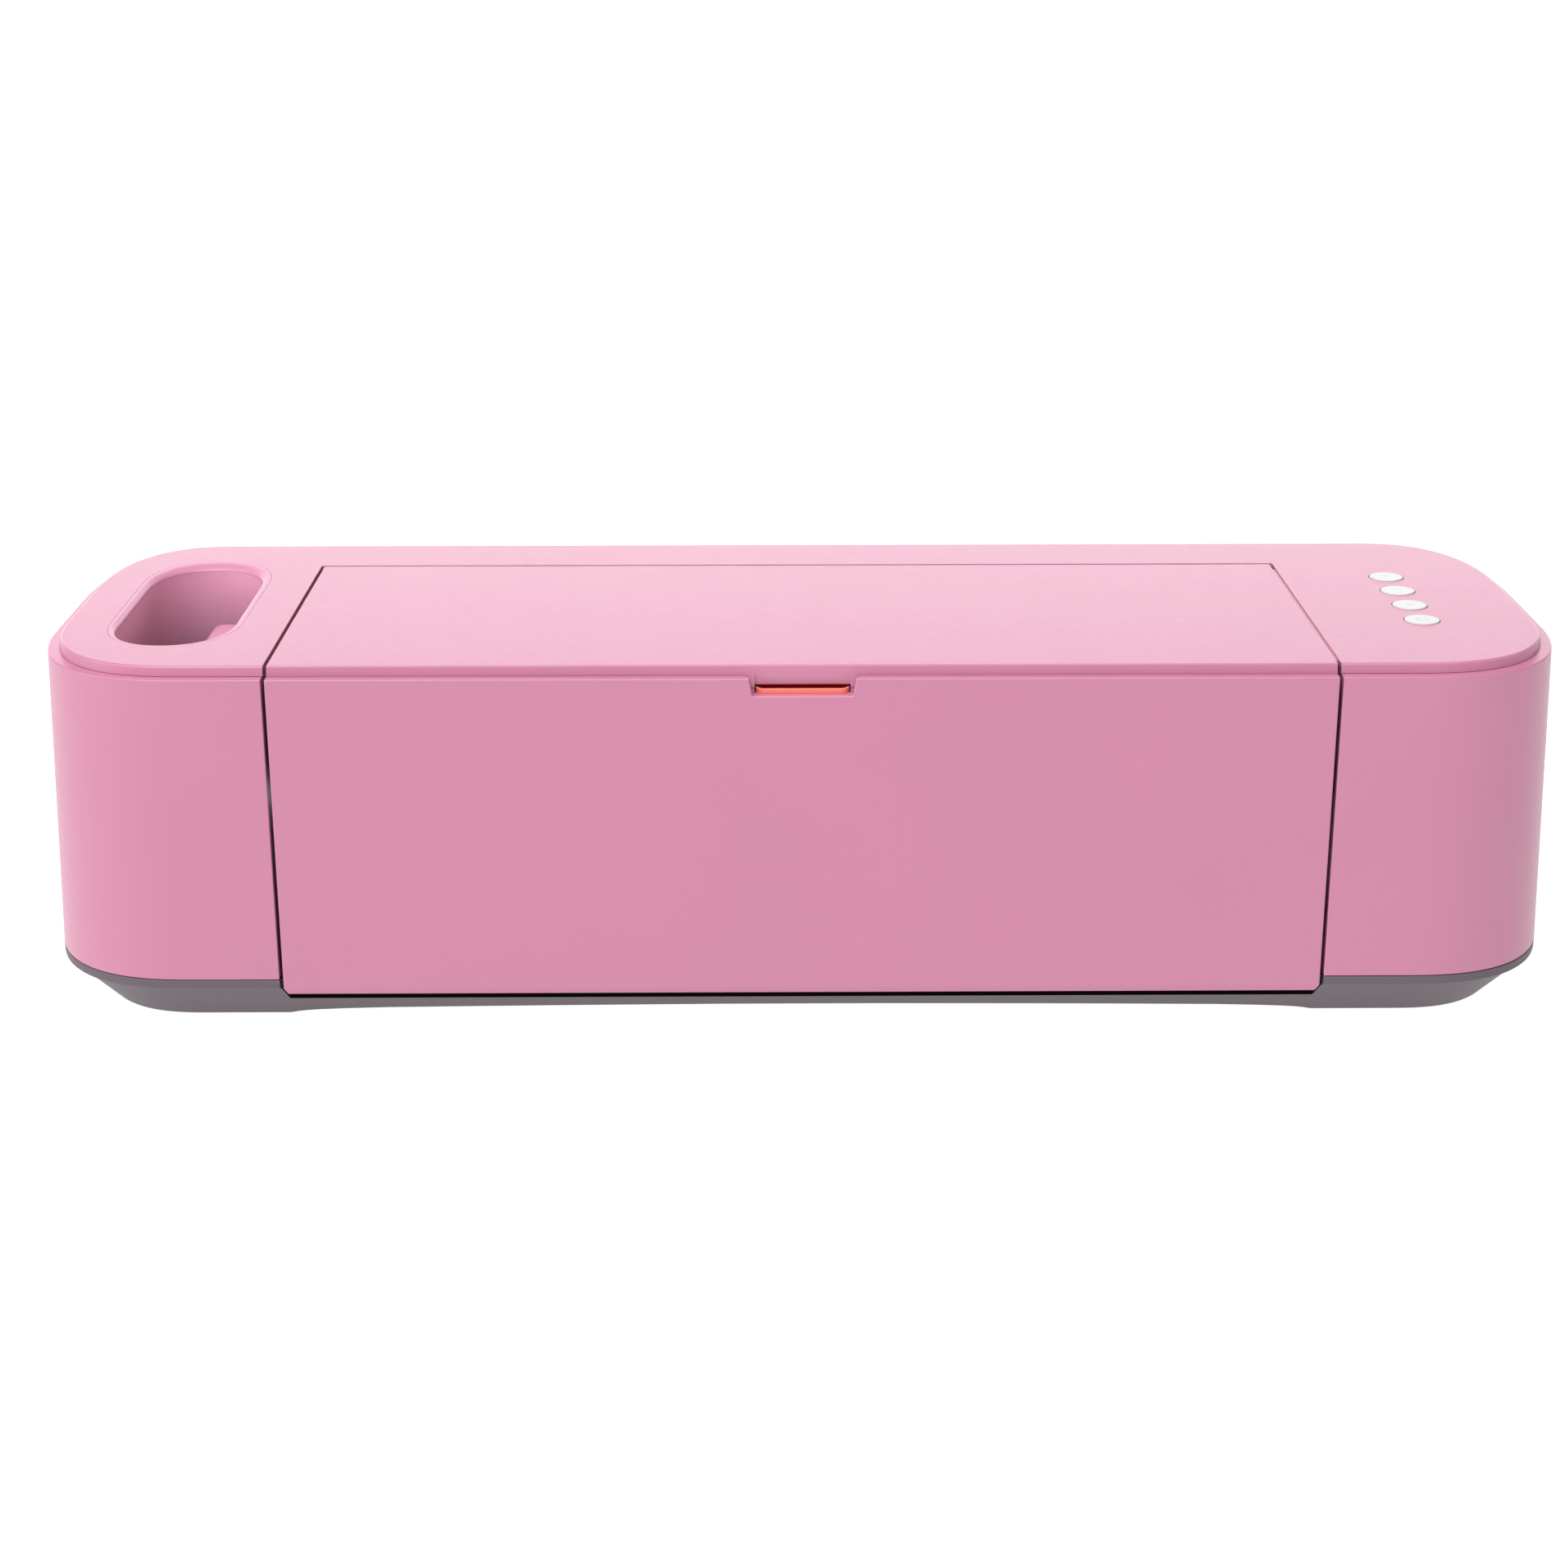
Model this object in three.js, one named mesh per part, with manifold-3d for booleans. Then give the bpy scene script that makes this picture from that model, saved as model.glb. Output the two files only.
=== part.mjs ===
// Desktop vinyl cutter: a 12 inch class craft cutting machine with a lift-up lid and a fold-down front door.
// Millimetres, +Z up, X to the right seen from the front, the front face towards -Y.
// The origin is the middle of the footprint, on the surface that the machine stands on.
import * as THREE from 'three';
import { mergeVertices } from 'three/addons/utils/BufferGeometryUtils.js';
import Module from 'manifold-3d';

const wasm = await Module();
wasm.setup();

// ---------- driving dimensions ----------
const GAP = 0.3; // clearance between pieces that touch
const WALL = 2.5; // moulded wall thickness

const HALF_DEPTH = 95;
const HALF_WIDTH_TOP = 288.8; // body wall at the ledge
const HALF_WIDTH_BOTTOM = 292.6; // body wall at the base, the ends flare a little
const FRONT_CORNER = { rx: 61.5, ry: 70.2, power: 2.46 };
const BACK_CORNER = { rx: 49.2, ry: 79.3, power: 2.52 };
const CORNER_STEPS = 9;

const DECK_Z = 144.5; // top of the deck and lid
const LEDGE_Z = 140.65; // ledge around the raised deck
const DECK_INSET = 4.15;
const SHELL_Z = 21.9; // bottom of the coloured shells
const TRAY = { top: 21.6, band: 18.2, slope: 17.6, slopeInset: 2.2, bottom: 1, bottomInset: 16.5, floor: 8.5 };
const ARCH = [[198, 1], [190, 2.4], [170, 3.3], [150, 3.8], [87, 5.3], [30, 5.75]]; // [x, z] of the underside
const CHIN = { half: 208, back: -81.5 }; // solid front of the tray, behind the door's lower edge
const RECESS = { floor: 11.2, floorHalf: 196.3, cutTop: 17.8, back: -84 };
const PAD = { radius: 10, height: 3, x: 214, y: 62 };

const JAMB_X = 198.45; // half width of the front opening
const DOOR = { halfWidth: 197.1, bottom: 15.6, crease: 18.2, chamfer: 1.2, cornerCut: 1.7 };
const DOOR_AXIS = { y: -91.6, z: 20 };
const NOTCH = { topHalf: 19.7, bottomHalf: 18.5, floor: 133.9 };
const SHELF = { half: 19.5, back: -80.5, bottom: 128.5 };
const INSERT = { half: 17.4, front: -92.1, back: -85.5, top: 135.9, bottom: 131.5, corner: 3.5, wall: 1.2 };
const LINER = { half: 192, back: -83, bottom: 24, top: 131 };

const LID = { halfWidth: 196.8, back: 54.8, wallBottom: 136.9 };
const LID_OPENING = { halfWidth: 198.2, back: 56.1 };
const LID_AXIS = { y: 51.9, z: 141.9 };
const SKIRT = { front: -83.5, back: 58.6, bottom: 127 }; // the deck's wall round the lid opening

const CUP = {
  x: -241.2, rx: 25.7, halfY: 63.6, ry: 34, power: 2.2, lip: 3.2, lipFlat: 1.2, lipDrop: 2.2,
  shift: 3.2, trim: 1.8, floor: 68.5, bottom: 66.5,
};
const POD = { x0: -238, x1: -217, y0: -62, y1: 21.5, top: 130 };
const BUTTON = { x: 241, y0: -31.95, pitch: 21.63, count: 4, radius: 6.73, top: 144.9, flangeRadius: 7.8 };

const PLATE = { inner: 197.9, outer: 200.9, front: -78, back: 81.5, bottom: 8.8, top: 126.5 };
const PLATEN = { half: 196, front: -80, back: 90, top: 28.6, thickness: 3 };
const ROLLER = { y: 11, z: 22.5, radius: 6, gripRadius: 6.4, half: 192, journal: 3 };
const PINCH = { x: 150, z: 37, radius: 7, half: 8, axle: 2 };
const PINCH_BAR = { y0: 5, y1: 17, z0: 50, z1: 54 };
const ROD = { y: 16, upper: 98, lower: 66, radius: 4, half: 203 };
const RAIL = { y0: 26, y1: 44, z0: 72, z1: 92, half: 197.6 };
const CARRIAGE = { x: 158, half: 32, y0: 9, y1: 24, z0: 58, z1: 106 };
const TOOL = { offset: 15, y: -4, boreRadius: 8.3, radius: 8 };
const SLIDER = { half: 12, y0: -14, y1: 8.7, z0: 62, z1: 100 };
const LEVER = { y: -16, z: 68, half: 8.7, thickness: 3.4, pin: 1, top: 94 };
const X_DRIVE = { x: 175, z: 82, pulley: 6, y0: 47, y1: 53 };
const FEED_DRIVE = { x0: 203, x1: 211, bigRadius: 11, smallRadius: 6, y: 60, z: 40 };
const BELT = { gap: 0.3, thickness: 1.4 };
const MOTOR = { half: 21, length: 32 };
const MAIN_BOARD = { half: 100, y: 84, thickness: 1.6, z0: 46, z1: 126 };
const CHIPS = [[-60, 95, 14, 14, 2], [-15, 90, 8, 10, 2], [40, 100, 12, 8, 9], [75, 100, 8, 8, 10]];
const REAR_SLOT = { half: 178, z0: 26.5, z1: 38 };
const JACK = { x: 67, z: 61.5, half: 7, halfZ: 5.5, bore: 3.2 };
const PORT = { x: 36, z: 61.5, half: 6, halfZ: 5.5, mouth: 4, mouthZ: 3.6 };
const SOCKET_DEPTH = 7;
const SCREW = { x: 262, y: 48, headRadius: 3.2, shankRadius: 1.5 };

const ROUND = 24; // sides of a small round part

// ---------- materials ----------
const FINISHES = {
  pink: { color: 0xe29bb8, roughness: 0.42, metalness: 0 },
  pinkInner: { color: 0xd68aa6, roughness: 0.5, metalness: 0 },
  grey: { color: 0x776c73, roughness: 0.55, metalness: 0 },
  white: { color: 0xf6f5f6, roughness: 0.4, metalness: 0 },
  orange: { color: 0xf26a4c, roughness: 0.35, metalness: 0 },
  charcoal: { color: 0x2f2d31, roughness: 0.6, metalness: 0 },
  steel: { color: 0xb9bcc0, roughness: 0.25, metalness: 1 },
  aluminium: { color: 0xc6c8cc, roughness: 0.4, metalness: 1 },
  rubber: { color: 0x222122, roughness: 0.85, metalness: 0 },
  board: { color: 0x1e5a3a, roughness: 0.5, metalness: 0 },
  brass: { color: 0xb8934a, roughness: 0.35, metalness: 1 },
};

// ---------- solids ----------
function solidOf(geometry) {
  geometry.deleteAttribute('normal');
  geometry.deleteAttribute('uv');
  const merged = mergeVertices(geometry, 1e-4);
  return new wasm.Manifold(new wasm.Mesh({
    numProp: 3,
    vertProperties: new Float32Array(merged.attributes.position.array),
    triVerts: new Uint32Array(merged.index.array),
  }));
}

function geometryOf(solid) {
  const mesh = solid.getMesh();
  const geometry = new THREE.BufferGeometry();
  geometry.setAttribute('position', new THREE.BufferAttribute(new Float32Array(mesh.vertProperties), 3));
  geometry.setIndex(new THREE.BufferAttribute(new Uint32Array(mesh.triVerts), 1));
  geometry.computeVertexNormals();
  return geometry;
}

function box(x0, x1, y0, y1, z0, z1) {
  const geometry = new THREE.BoxGeometry(x1 - x0, y1 - y0, z1 - z0);
  geometry.translate((x0 + x1) / 2, (y0 + y1) / 2, (z0 + z1) / 2);
  return solidOf(geometry);
}

// A round bar from a to b along one axis; (u, v) are its other two coordinates in X, Y, Z order.
function bar(axis, a, b, u, v, radius, sides = ROUND) {
  const geometry = new THREE.CylinderGeometry(radius, radius, b - a, sides);
  const middle = (a + b) / 2;
  if (axis === 'x') {
    geometry.rotateZ(Math.PI / 2);
    geometry.translate(middle, u, v);
  } else if (axis === 'y') {
    geometry.translate(u, middle, v);
  } else {
    geometry.rotateX(Math.PI / 2);
    geometry.translate(u, v, middle);
  }
  return solidOf(geometry);
}

// A turned part about a vertical axis at (x, y), from [radius, z] points that start and end on the axis.
function turned(x, y, profile, sides = ROUND) {
  const geometry = new THREE.LatheGeometry(profile.map(([r, z]) => new THREE.Vector2(r, z)), sides);
  geometry.rotateX(Math.PI / 2);
  geometry.translate(x, y, 0);
  return solidOf(geometry);
}

function extruded(points, depth) {
  const shape = new THREE.Shape(points.map(([u, v]) => new THREE.Vector2(u, v)));
  return new THREE.ExtrudeGeometry(shape, { depth, bevelEnabled: false, steps: 1 });
}

// A [y, z] outline swept along X.
function alongX(points, x0, x1) {
  const geometry = extruded(points, x1 - x0);
  geometry.applyMatrix4(new THREE.Matrix4().set(0, 0, 1, x0, 1, 0, 0, 0, 0, 1, 0, 0, 0, 0, 0, 1));
  return solidOf(geometry);
}

// An [x, z] outline swept along Y.
function alongY(points, y0, y1) {
  const geometry = extruded(points, y1 - y0);
  geometry.applyMatrix4(new THREE.Matrix4().set(1, 0, 0, 0, 0, 0, -1, y1, 0, 1, 0, 0, 0, 0, 0, 1));
  return solidOf(geometry);
}

// A closed skin through horizontal rings that all hold the same number of [x, y] points.
function loft(rings) {
  const count = rings[0].points.length;
  const positions = rings.flatMap(({ points, z }) => points.flatMap(([x, y]) => [x, y, z]));
  const index = [];
  for (let level = 0; level < rings.length - 1; level += 1) {
    for (let i = 0; i < count; i += 1) {
      const a = level * count + i;
      const b = level * count + (i + 1) % count;
      index.push(a, b, b + count, a, b + count, a + count);
    }
  }
  const flat = rings[0].points.map(([x, y]) => new THREE.Vector2(x, y));
  const last = (rings.length - 1) * count;
  for (const [a, b, c] of THREE.ShapeUtils.triangulateShape(flat, [])) {
    index.push(a, c, b, last + a, last + b, last + c);
  }
  const geometry = new THREE.BufferGeometry();
  geometry.setAttribute('position', new THREE.BufferAttribute(new Float32Array(positions), 3));
  geometry.setIndex(index);
  return solidOf(geometry);
}

function union(...solids) {
  return solids.reduce((a, b) => a.add(b));
}

function mirroredX(make) {
  return [make(-1), make(1)];
}

// The right half of an outline, and the same points at -X in the opposite order.
function bothSides(right) {
  return [...right, ...right.map(([x, v]) => [-x, v]).reverse()];
}

function boxAtSide(side, near, far, y0, y1, z0, z1) {
  const xs = [side * near, side * far].sort((a, b) => a - b);
  return box(xs[0], xs[1], y0, y1, z0, z1);
}

// ---------- plan outline of the body ----------
function cornerPoints(centre, signX, signY, corner, inset, from, to) {
  const points = [];
  for (let i = 0; i <= CORNER_STEPS; i += 1) {
    const angle = from + (to - from) * i / CORNER_STEPS;
    const u = Math.abs(Math.cos(angle)) ** (2 / corner.power);
    const v = Math.abs(Math.sin(angle)) ** (2 / corner.power);
    points.push([centre[0] + signX * (corner.rx - inset) * u, centre[1] + signY * (corner.ry - inset) * v]);
  }
  return points;
}

function bodyOutline(inset, halfWidth = HALF_WIDTH_TOP) {
  const quarter = Math.PI / 2;
  const frontX = HALF_WIDTH_TOP - FRONT_CORNER.rx;
  const frontY = -HALF_DEPTH + FRONT_CORNER.ry;
  const backX = HALF_WIDTH_TOP - BACK_CORNER.rx;
  const backY = HALF_DEPTH - BACK_CORNER.ry;
  const stretch = halfWidth / HALF_WIDTH_TOP;
  return [
    ...cornerPoints([frontX, frontY], 1, -1, FRONT_CORNER, inset, quarter, 0),
    ...cornerPoints([backX, backY], 1, 1, BACK_CORNER, inset, 0, quarter),
    ...cornerPoints([-backX, backY], -1, 1, BACK_CORNER, inset, quarter, 0),
    ...cornerPoints([-frontX, frontY], -1, -1, FRONT_CORNER, inset, 0, quarter),
  ].map(([x, y]) => [x * stretch, y]);
}

// ---------- base ----------
function screwPlaces() {
  return [[-1, -1], [1, -1], [-1, 1], [1, 1]].map(([sx, sy]) => [sx * SCREW.x, sy * SCREW.y]);
}

function padPlaces() {
  return [[-1, -1], [1, -1], [-1, 1], [1, 1]].map(([sx, sy]) => [sx * PAD.x, sy * PAD.y]);
}

function baseTray() {
  const wide = HALF_WIDTH_BOTTOM;
  let tray = loft([
    { z: TRAY.bottom, points: bodyOutline(TRAY.bottomInset, wide) },
    { z: TRAY.slope, points: bodyOutline(TRAY.slopeInset, wide) },
    { z: TRAY.band, points: bodyOutline(0, wide) },
    { z: TRAY.top, points: bodyOutline(0, wide) },
  ]);
  let hollow = loft([
    { z: TRAY.floor, points: bodyOutline(TRAY.bottomInset - 4, wide) },
    { z: TRAY.slope, points: bodyOutline(TRAY.slopeInset + WALL, wide) },
    { z: TRAY.top + 1, points: bodyOutline(TRAY.slopeInset + WALL, wide) },
  ]);
  hollow = hollow.subtract(box(-CHIN.half, CHIN.half, -100, CHIN.back, 0, 30));
  tray = tray.subtract(hollow);
  // the door's lower edge swings in this recess
  const recess = [[RECESS.floorHalf, RECESS.floor], [JAMB_X, RECESS.cutTop], [JAMB_X, TRAY.top + 1]];
  tray = tray.subtract(alongY(bothSides(recess), -100, RECESS.back));
  // shallow arch between the two foot blocks
  tray = tray.subtract(alongY(bothSides([...ARCH.slice().reverse(), [ARCH[0][0], 0]]), -100, 100));
  for (const [x, y] of padPlaces()) {
    tray = tray.subtract(bar('z', 0, PAD.height + GAP, x, y, PAD.radius + GAP));
  }
  for (const [x, y] of screwPlaces()) {
    tray = tray.subtract(bar('z', 0, 4.5, x, y, SCREW.headRadius + GAP, 16));
    tray = tray.subtract(bar('z', 0, 12, x, y, SCREW.shankRadius + GAP, 12));
  }
  for (const side of [-1, 1]) {
    const ends = [side * 180, side * 206.3].sort((a, b) => a - b);
    tray = tray.subtract(bar('x', ends[0], ends[1], DOOR_AXIS.y, DOOR_AXIS.z, 1.8, 16));
  }
  return tray;
}

function footPad([x, y]) {
  const { radius, height } = PAD;
  return turned(x, y, [[0, 0], [radius - 1, 0], [radius, 1], [radius, height], [0, height]]);
}

function caseScrew([x, y]) {
  const { headRadius: head, shankRadius: shank } = SCREW;
  return turned(x, y, [[0, 1.8], [head, 1.8], [head, 4.2], [shank, 4.2], [shank, 15], [0, 16]], 14);
}

// ---------- coloured shells ----------
function bodyRing() {
  const outer = loft([
    { z: SHELL_Z, points: bodyOutline(0, HALF_WIDTH_BOTTOM) },
    { z: LEDGE_Z, points: bodyOutline(0) },
  ]);
  const inner = loft([
    { z: SHELL_Z - 1, points: bodyOutline(WALL, HALF_WIDTH_BOTTOM) },
    { z: LEDGE_Z - WALL, points: bodyOutline(WALL) },
  ]);
  const mouth = loft([
    { z: LEDGE_Z - WALL - 1, points: bodyOutline(DECK_INSET + 5) },
    { z: LEDGE_Z + 1, points: bodyOutline(DECK_INSET + 5) },
  ]);
  return outer.subtract(inner).subtract(mouth);
}

function endShell(ring, side) {
  const part = ring.intersect(boxAtSide(side, JAMB_X, 300, -100, 100, 0, 150));
  return part.add(boxAtSide(side, JAMB_X, JAMB_X + WALL, -93.5, -84, SHELL_Z, LEDGE_Z - 1));
}

function rearPanel(ring) {
  const reach = JAMB_X - GAP;
  let panel = ring.intersect(box(-reach, reach, 60, 100, 0, 150));
  panel = panel.subtract(box(-REAR_SLOT.half, REAR_SLOT.half, 80, 100, REAR_SLOT.z0, REAR_SLOT.z1));
  for (const socket of [JACK, PORT]) {
    const halfX = socket.half + GAP;
    const halfZ = socket.halfZ + GAP;
    panel = panel.subtract(box(
      socket.x - halfX, socket.x + halfX, 80, 100, socket.z - halfZ, socket.z + halfZ));
  }
  return panel;
}

// ---------- tool cup ----------
// The cup's outline moved inwards by shrink. A slide of 1 is the pocket's: shorter, and nearer the front.
function cupOutline(shrink, slide = 0) {
  const points = [];
  const steps = 12;
  for (const [signX, signY, from, to] of [[1, -1, 1, 0], [1, 1, 0, 1], [-1, 1, 1, 0], [-1, -1, 0, 1]]) {
    for (let i = 0; i <= steps; i += 1) {
      const angle = (from + (to - from) * i / steps) * Math.PI / 2;
      const u = Math.cos(angle) ** (2 / CUP.power);
      const v = Math.sin(angle) ** (2 / CUP.power);
      points.push([
        CUP.x + signX * (CUP.rx - shrink) * Math.max(u, 1e-9),
        signY * (CUP.halfY - CUP.trim * slide - CUP.ry + (CUP.ry - shrink) * Math.max(v, 1e-9))
          - CUP.shift * slide,
      ]);
    }
  }
  return points;
}

function toolCup() {
  const body = loft([
    { z: CUP.bottom, points: cupOutline(1.4) },
    { z: DECK_Z, points: cupOutline(GAP) },
  ]);
  const pocket = loft([
    { z: CUP.floor, points: cupOutline(CUP.lip + 1, 1) },
    { z: DECK_Z - CUP.lipDrop, points: cupOutline(CUP.lip, 1) },
    { z: DECK_Z - 0.6, points: cupOutline((CUP.lip + CUP.lipFlat) / 2, 0.6) },
    { z: DECK_Z + 0.1, points: cupOutline(CUP.lipFlat) },
  ]);
  const pod = box(POD.x0, POD.x1, POD.y0, POD.y1, CUP.bottom + 1, POD.top);
  return body.subtract(pocket.subtract(pod));
}

// ---------- top deck ----------
function topDeck() {
  const edge = 0.6;
  let deck = loft([
    { z: LEDGE_Z + GAP, points: bodyOutline(DECK_INSET) },
    { z: DECK_Z - edge, points: bodyOutline(DECK_INSET) },
    { z: DECK_Z, points: bodyOutline(DECK_INSET + edge) },
  ]);
  deck = deck.subtract(loft([
    { z: LEDGE_Z, points: bodyOutline(DECK_INSET + WALL) },
    { z: DECK_Z - WALL, points: bodyOutline(DECK_INSET + WALL) },
  ]));
  deck = deck.subtract(box(-LID_OPENING.halfWidth, LID_OPENING.halfWidth, -100, LID_OPENING.back, 130, 150));
  const under = DECK_Z - WALL + GAP;
  const skirtOuter = LID_OPENING.halfWidth + WALL;
  for (const side of [-1, 1]) {
    deck = deck.add(boxAtSide(
      side, LID_OPENING.halfWidth, skirtOuter, SKIRT.front, SKIRT.back, SKIRT.bottom, under));
    deck = deck.add(boxAtSide(side, LID_OPENING.halfWidth, 207, 46, 58, 137, under));
    const ends = [side * 190, side * 204.3].sort((a, b) => a - b);
    deck = deck.subtract(bar('x', ends[0], ends[1], LID_AXIS.y, LID_AXIS.z, 1.3, 12));
  }
  deck = deck.add(box(-skirtOuter, skirtOuter, LID_OPENING.back, SKIRT.back, SKIRT.bottom, under));
  for (const y of [BUTTON.y0 - 10.5, BUTTON.y0 + 3 * BUTTON.pitch + 10.5]) {
    deck = deck.add(bar('z', 135.9, under, BUTTON.x, y, 2.5, 12));
  }
  deck = deck.subtract(loft([
    { z: LEDGE_Z - 1, points: cupOutline(0) },
    { z: DECK_Z + 1, points: cupOutline(0) },
  ]));
  for (let i = 0; i < BUTTON.count; i += 1) {
    deck = deck.subtract(bar('z', 140, 150, BUTTON.x, BUTTON.y0 + i * BUTTON.pitch, BUTTON.radius + GAP, 32));
  }
  return deck;
}

function button(i) {
  const { radius, top, flangeRadius } = BUTTON;
  return turned(BUTTON.x, BUTTON.y0 + i * BUTTON.pitch, [
    [0, 140.8], [flangeRadius, 140.8], [flangeRadius, 141.7], [radius, 141.7],
    [radius, top - 0.3], [radius - 0.4, top], [0, top],
  ], 32);
}

function buttonBoard() {
  const y1 = BUTTON.y0 + 3 * BUTTON.pitch;
  let board = box(BUTTON.x - 12, BUTTON.x + 12, BUTTON.y0 - 14, y1 + 14, 134, 135.6);
  for (let i = 0; i < BUTTON.count; i += 1) {
    const y = BUTTON.y0 + i * BUTTON.pitch;
    board = board.add(box(BUTTON.x - 3, BUTTON.x + 3, y - 3, y + 3, 135, 139.6));
  }
  return board;
}

// ---------- lid ----------
function lid() {
  const { halfWidth: half, back, wallBottom } = LID;
  const front = -HALF_DEPTH + DECK_INSET;
  const under = DECK_Z - WALL;
  let panel = alongX([
    [front, wallBottom], [front + WALL, wallBottom], [front + WALL, under], [back, under],
    [back, DECK_Z - 0.5], [back - 0.5, DECK_Z], [front + 0.6, DECK_Z], [front, DECK_Z - 0.6],
  ], -half, half);
  for (const side of [-1, 1]) {
    panel = panel.add(boxAtSide(side, half - 2.4, half, front + 1, 42, 137, under + GAP));
    panel = panel.add(boxAtSide(side, 188, half, 48.6, back, 139, under + GAP));
    const ends = [side * 187, side * 200].sort((a, b) => a - b);
    panel = panel.subtract(bar('x', ends[0], ends[1], LID_AXIS.y, LID_AXIS.z, 1.3, 12));
  }
  return panel;
}

function lidLiner() {
  let liner = box(-192, 192, -86.5, 44, 139.2, DECK_Z - WALL - GAP);
  for (const y of [-60, -20, 20]) {
    liner = liner.add(box(-180, 180, y - 1.2, y + 1.2, 137.6, 139.6));
  }
  return liner;
}

function lidPin(side) {
  const ends = [side * 189.5, side * 204].sort((a, b) => a - b);
  return bar('x', ends[0], ends[1], LID_AXIS.y, LID_AXIS.z, 1, 16);
}

// ---------- front door ----------
function frontDoor() {
  const half = DOOR.halfWidth;
  const face = -HALF_DEPTH;
  let door = alongX([
    [face + DOOR.chamfer, DOOR.bottom], [face + WALL + 0.6, DOOR.bottom], [face + WALL, DOOR.crease],
    [face + WALL, LEDGE_Z - WALL], [face + 3.75, LEDGE_Z - WALL], [face + 3.75, LEDGE_Z],
    [face + 0.6, LEDGE_Z], [face, LEDGE_Z - 0.6], [face, DOOR.crease],
  ], -half, half);
  for (const side of [-1, 1]) {
    const corner = [[half - DOOR.cornerCut, DOOR.bottom - 1], [half + 1, DOOR.bottom - 1],
      [half + 1, DOOR.crease], [half, DOOR.crease]].map(([x, z]) => [side * x, z]);
    door = door.subtract(alongY(corner, -100, -80));
    door = door.add(boxAtSide(side, 184, half - 2, -93, -87.5, 16.5, 23.5));
  }
  const { topHalf, bottomHalf, floor } = NOTCH;
  door = door.add(box(-SHELF.half, SHELF.half, face + 1, SHELF.back, SHELF.bottom, floor));
  door = door.subtract(alongY([
    [-bottomHalf, floor], [bottomHalf, floor], [topHalf, LEDGE_Z + 1], [-topHalf, LEDGE_Z + 1],
  ], -100, -88));
  door = door.subtract(insertBlock(-GAP, INSERT.bottom - GAP, floor + 1));
  for (const side of [-1, 1]) {
    const ends = [side * 189.5, side * 200].sort((a, b) => a - b);
    door = door.subtract(bar('x', ends[0], ends[1], DOOR_AXIS.y, DOOR_AXIS.z, 1.8, 16));
  }
  return door;
}

function doorLiner() {
  const front = -HALF_DEPTH + WALL + GAP;
  const { half, back, bottom, top } = LINER;
  const pocket = box(-half + WALL, half - WALL, front - 1, back - WALL, bottom + WALL, top - WALL);
  return box(-half, half, front, back, bottom, top)
    .subtract(pocket)
    .subtract(box(-SHELF.half - GAP, SHELF.half + GAP, front - 1, back + 1, SHELF.bottom - GAP, top + 1));
}

function doorPin(side) {
  const ends = [side * 189.8, side * 206].sort((a, b) => a - b);
  return bar('x', ends[0], ends[1], DOOR_AXIS.y, DOOR_AXIS.z, 1.5, 16);
}

// The finger pull's outline, with rounded front corners, moved inwards by inset.
function insertBlock(inset, z0, z1) {
  const { half, front, back, corner } = INSERT;
  const steps = 5;
  const right = [];
  for (let i = 0; i <= steps; i += 1) {
    const angle = Math.PI / 2 * i / steps;
    const radius = corner - inset;
    right.push([half - corner + radius * Math.sin(angle), front + corner - radius * Math.cos(angle)]);
  }
  right.push([half - inset, back - inset]);
  const points = bothSides(right);
  return loft([{ z: z0, points }, { z: z1, points }]);
}

// A wall that stands up from the notch floor round a hollow.
function fingerInsert() {
  const { bottom, top, wall } = INSERT;
  return insertBlock(0, bottom, top).subtract(insertBlock(wall, bottom + wall, top + 1));
}

// ---------- chassis ----------
function sidePlate(side) {
  let plate = boxAtSide(side, PLATE.inner, PLATE.outer, PLATE.front, PLATE.back, PLATE.bottom, PLATE.top);
  const ends = [side * (PLATE.inner - 1), side * (PLATE.outer + 1)].sort((a, b) => a - b);
  for (const z of [ROD.upper, ROD.lower]) {
    plate = plate.subtract(bar('x', ends[0], ends[1], ROD.y, z, ROD.radius + GAP));
  }
  return plate.subtract(bar('x', ends[0], ends[1], ROLLER.y, ROLLER.z, ROLLER.journal + GAP));
}

function platen() {
  const { half, front, back, top, thickness } = PLATEN;
  let bed = box(-half, half, front, back, top - thickness, top);
  for (const x of [-150, 0, 150]) {
    bed = bed.add(box(x - 1.5, x + 1.5, front + 2, 0, PLATE.bottom, top - 1));
    bed = bed.add(box(x - 1.5, x + 1.5, 24, back - 12, PLATE.bottom, top - 1));
  }
  bed = bed.subtract(box(-half + 2, half - 2, ROLLER.y - 7.5, ROLLER.y + 7.5, top - 5, top + 1));
  return bed.subtract(box(-165, 165, TOOL.y - 1.5, TOOL.y + 1.5, top - 0.6, top + 1));
}

function matGuide(side) {
  const z0 = PLATEN.top + GAP;
  return boxAtSide(side, 168, 176, -76, -48, z0, z0 + 2.5)
    .add(boxAtSide(side, 171.5, 176, -76, -48, z0, z0 + 7));
}

function driveRoller() {
  const { y, z, radius, gripRadius, half, journal } = ROLLER;
  let roller = bar('x', -half, half, y, z, radius);
  for (const side of [-1, 1]) {
    const ends = [side * (PINCH.x - 12), side * (PINCH.x + 12)].sort((a, b) => a - b);
    roller = roller.add(bar('x', ends[0], ends[1], y, z, gripRadius));
  }
  return roller.add(bar('x', -PLATE.outer, FEED_DRIVE.x0 + 1, y, z, journal));
}

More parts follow.
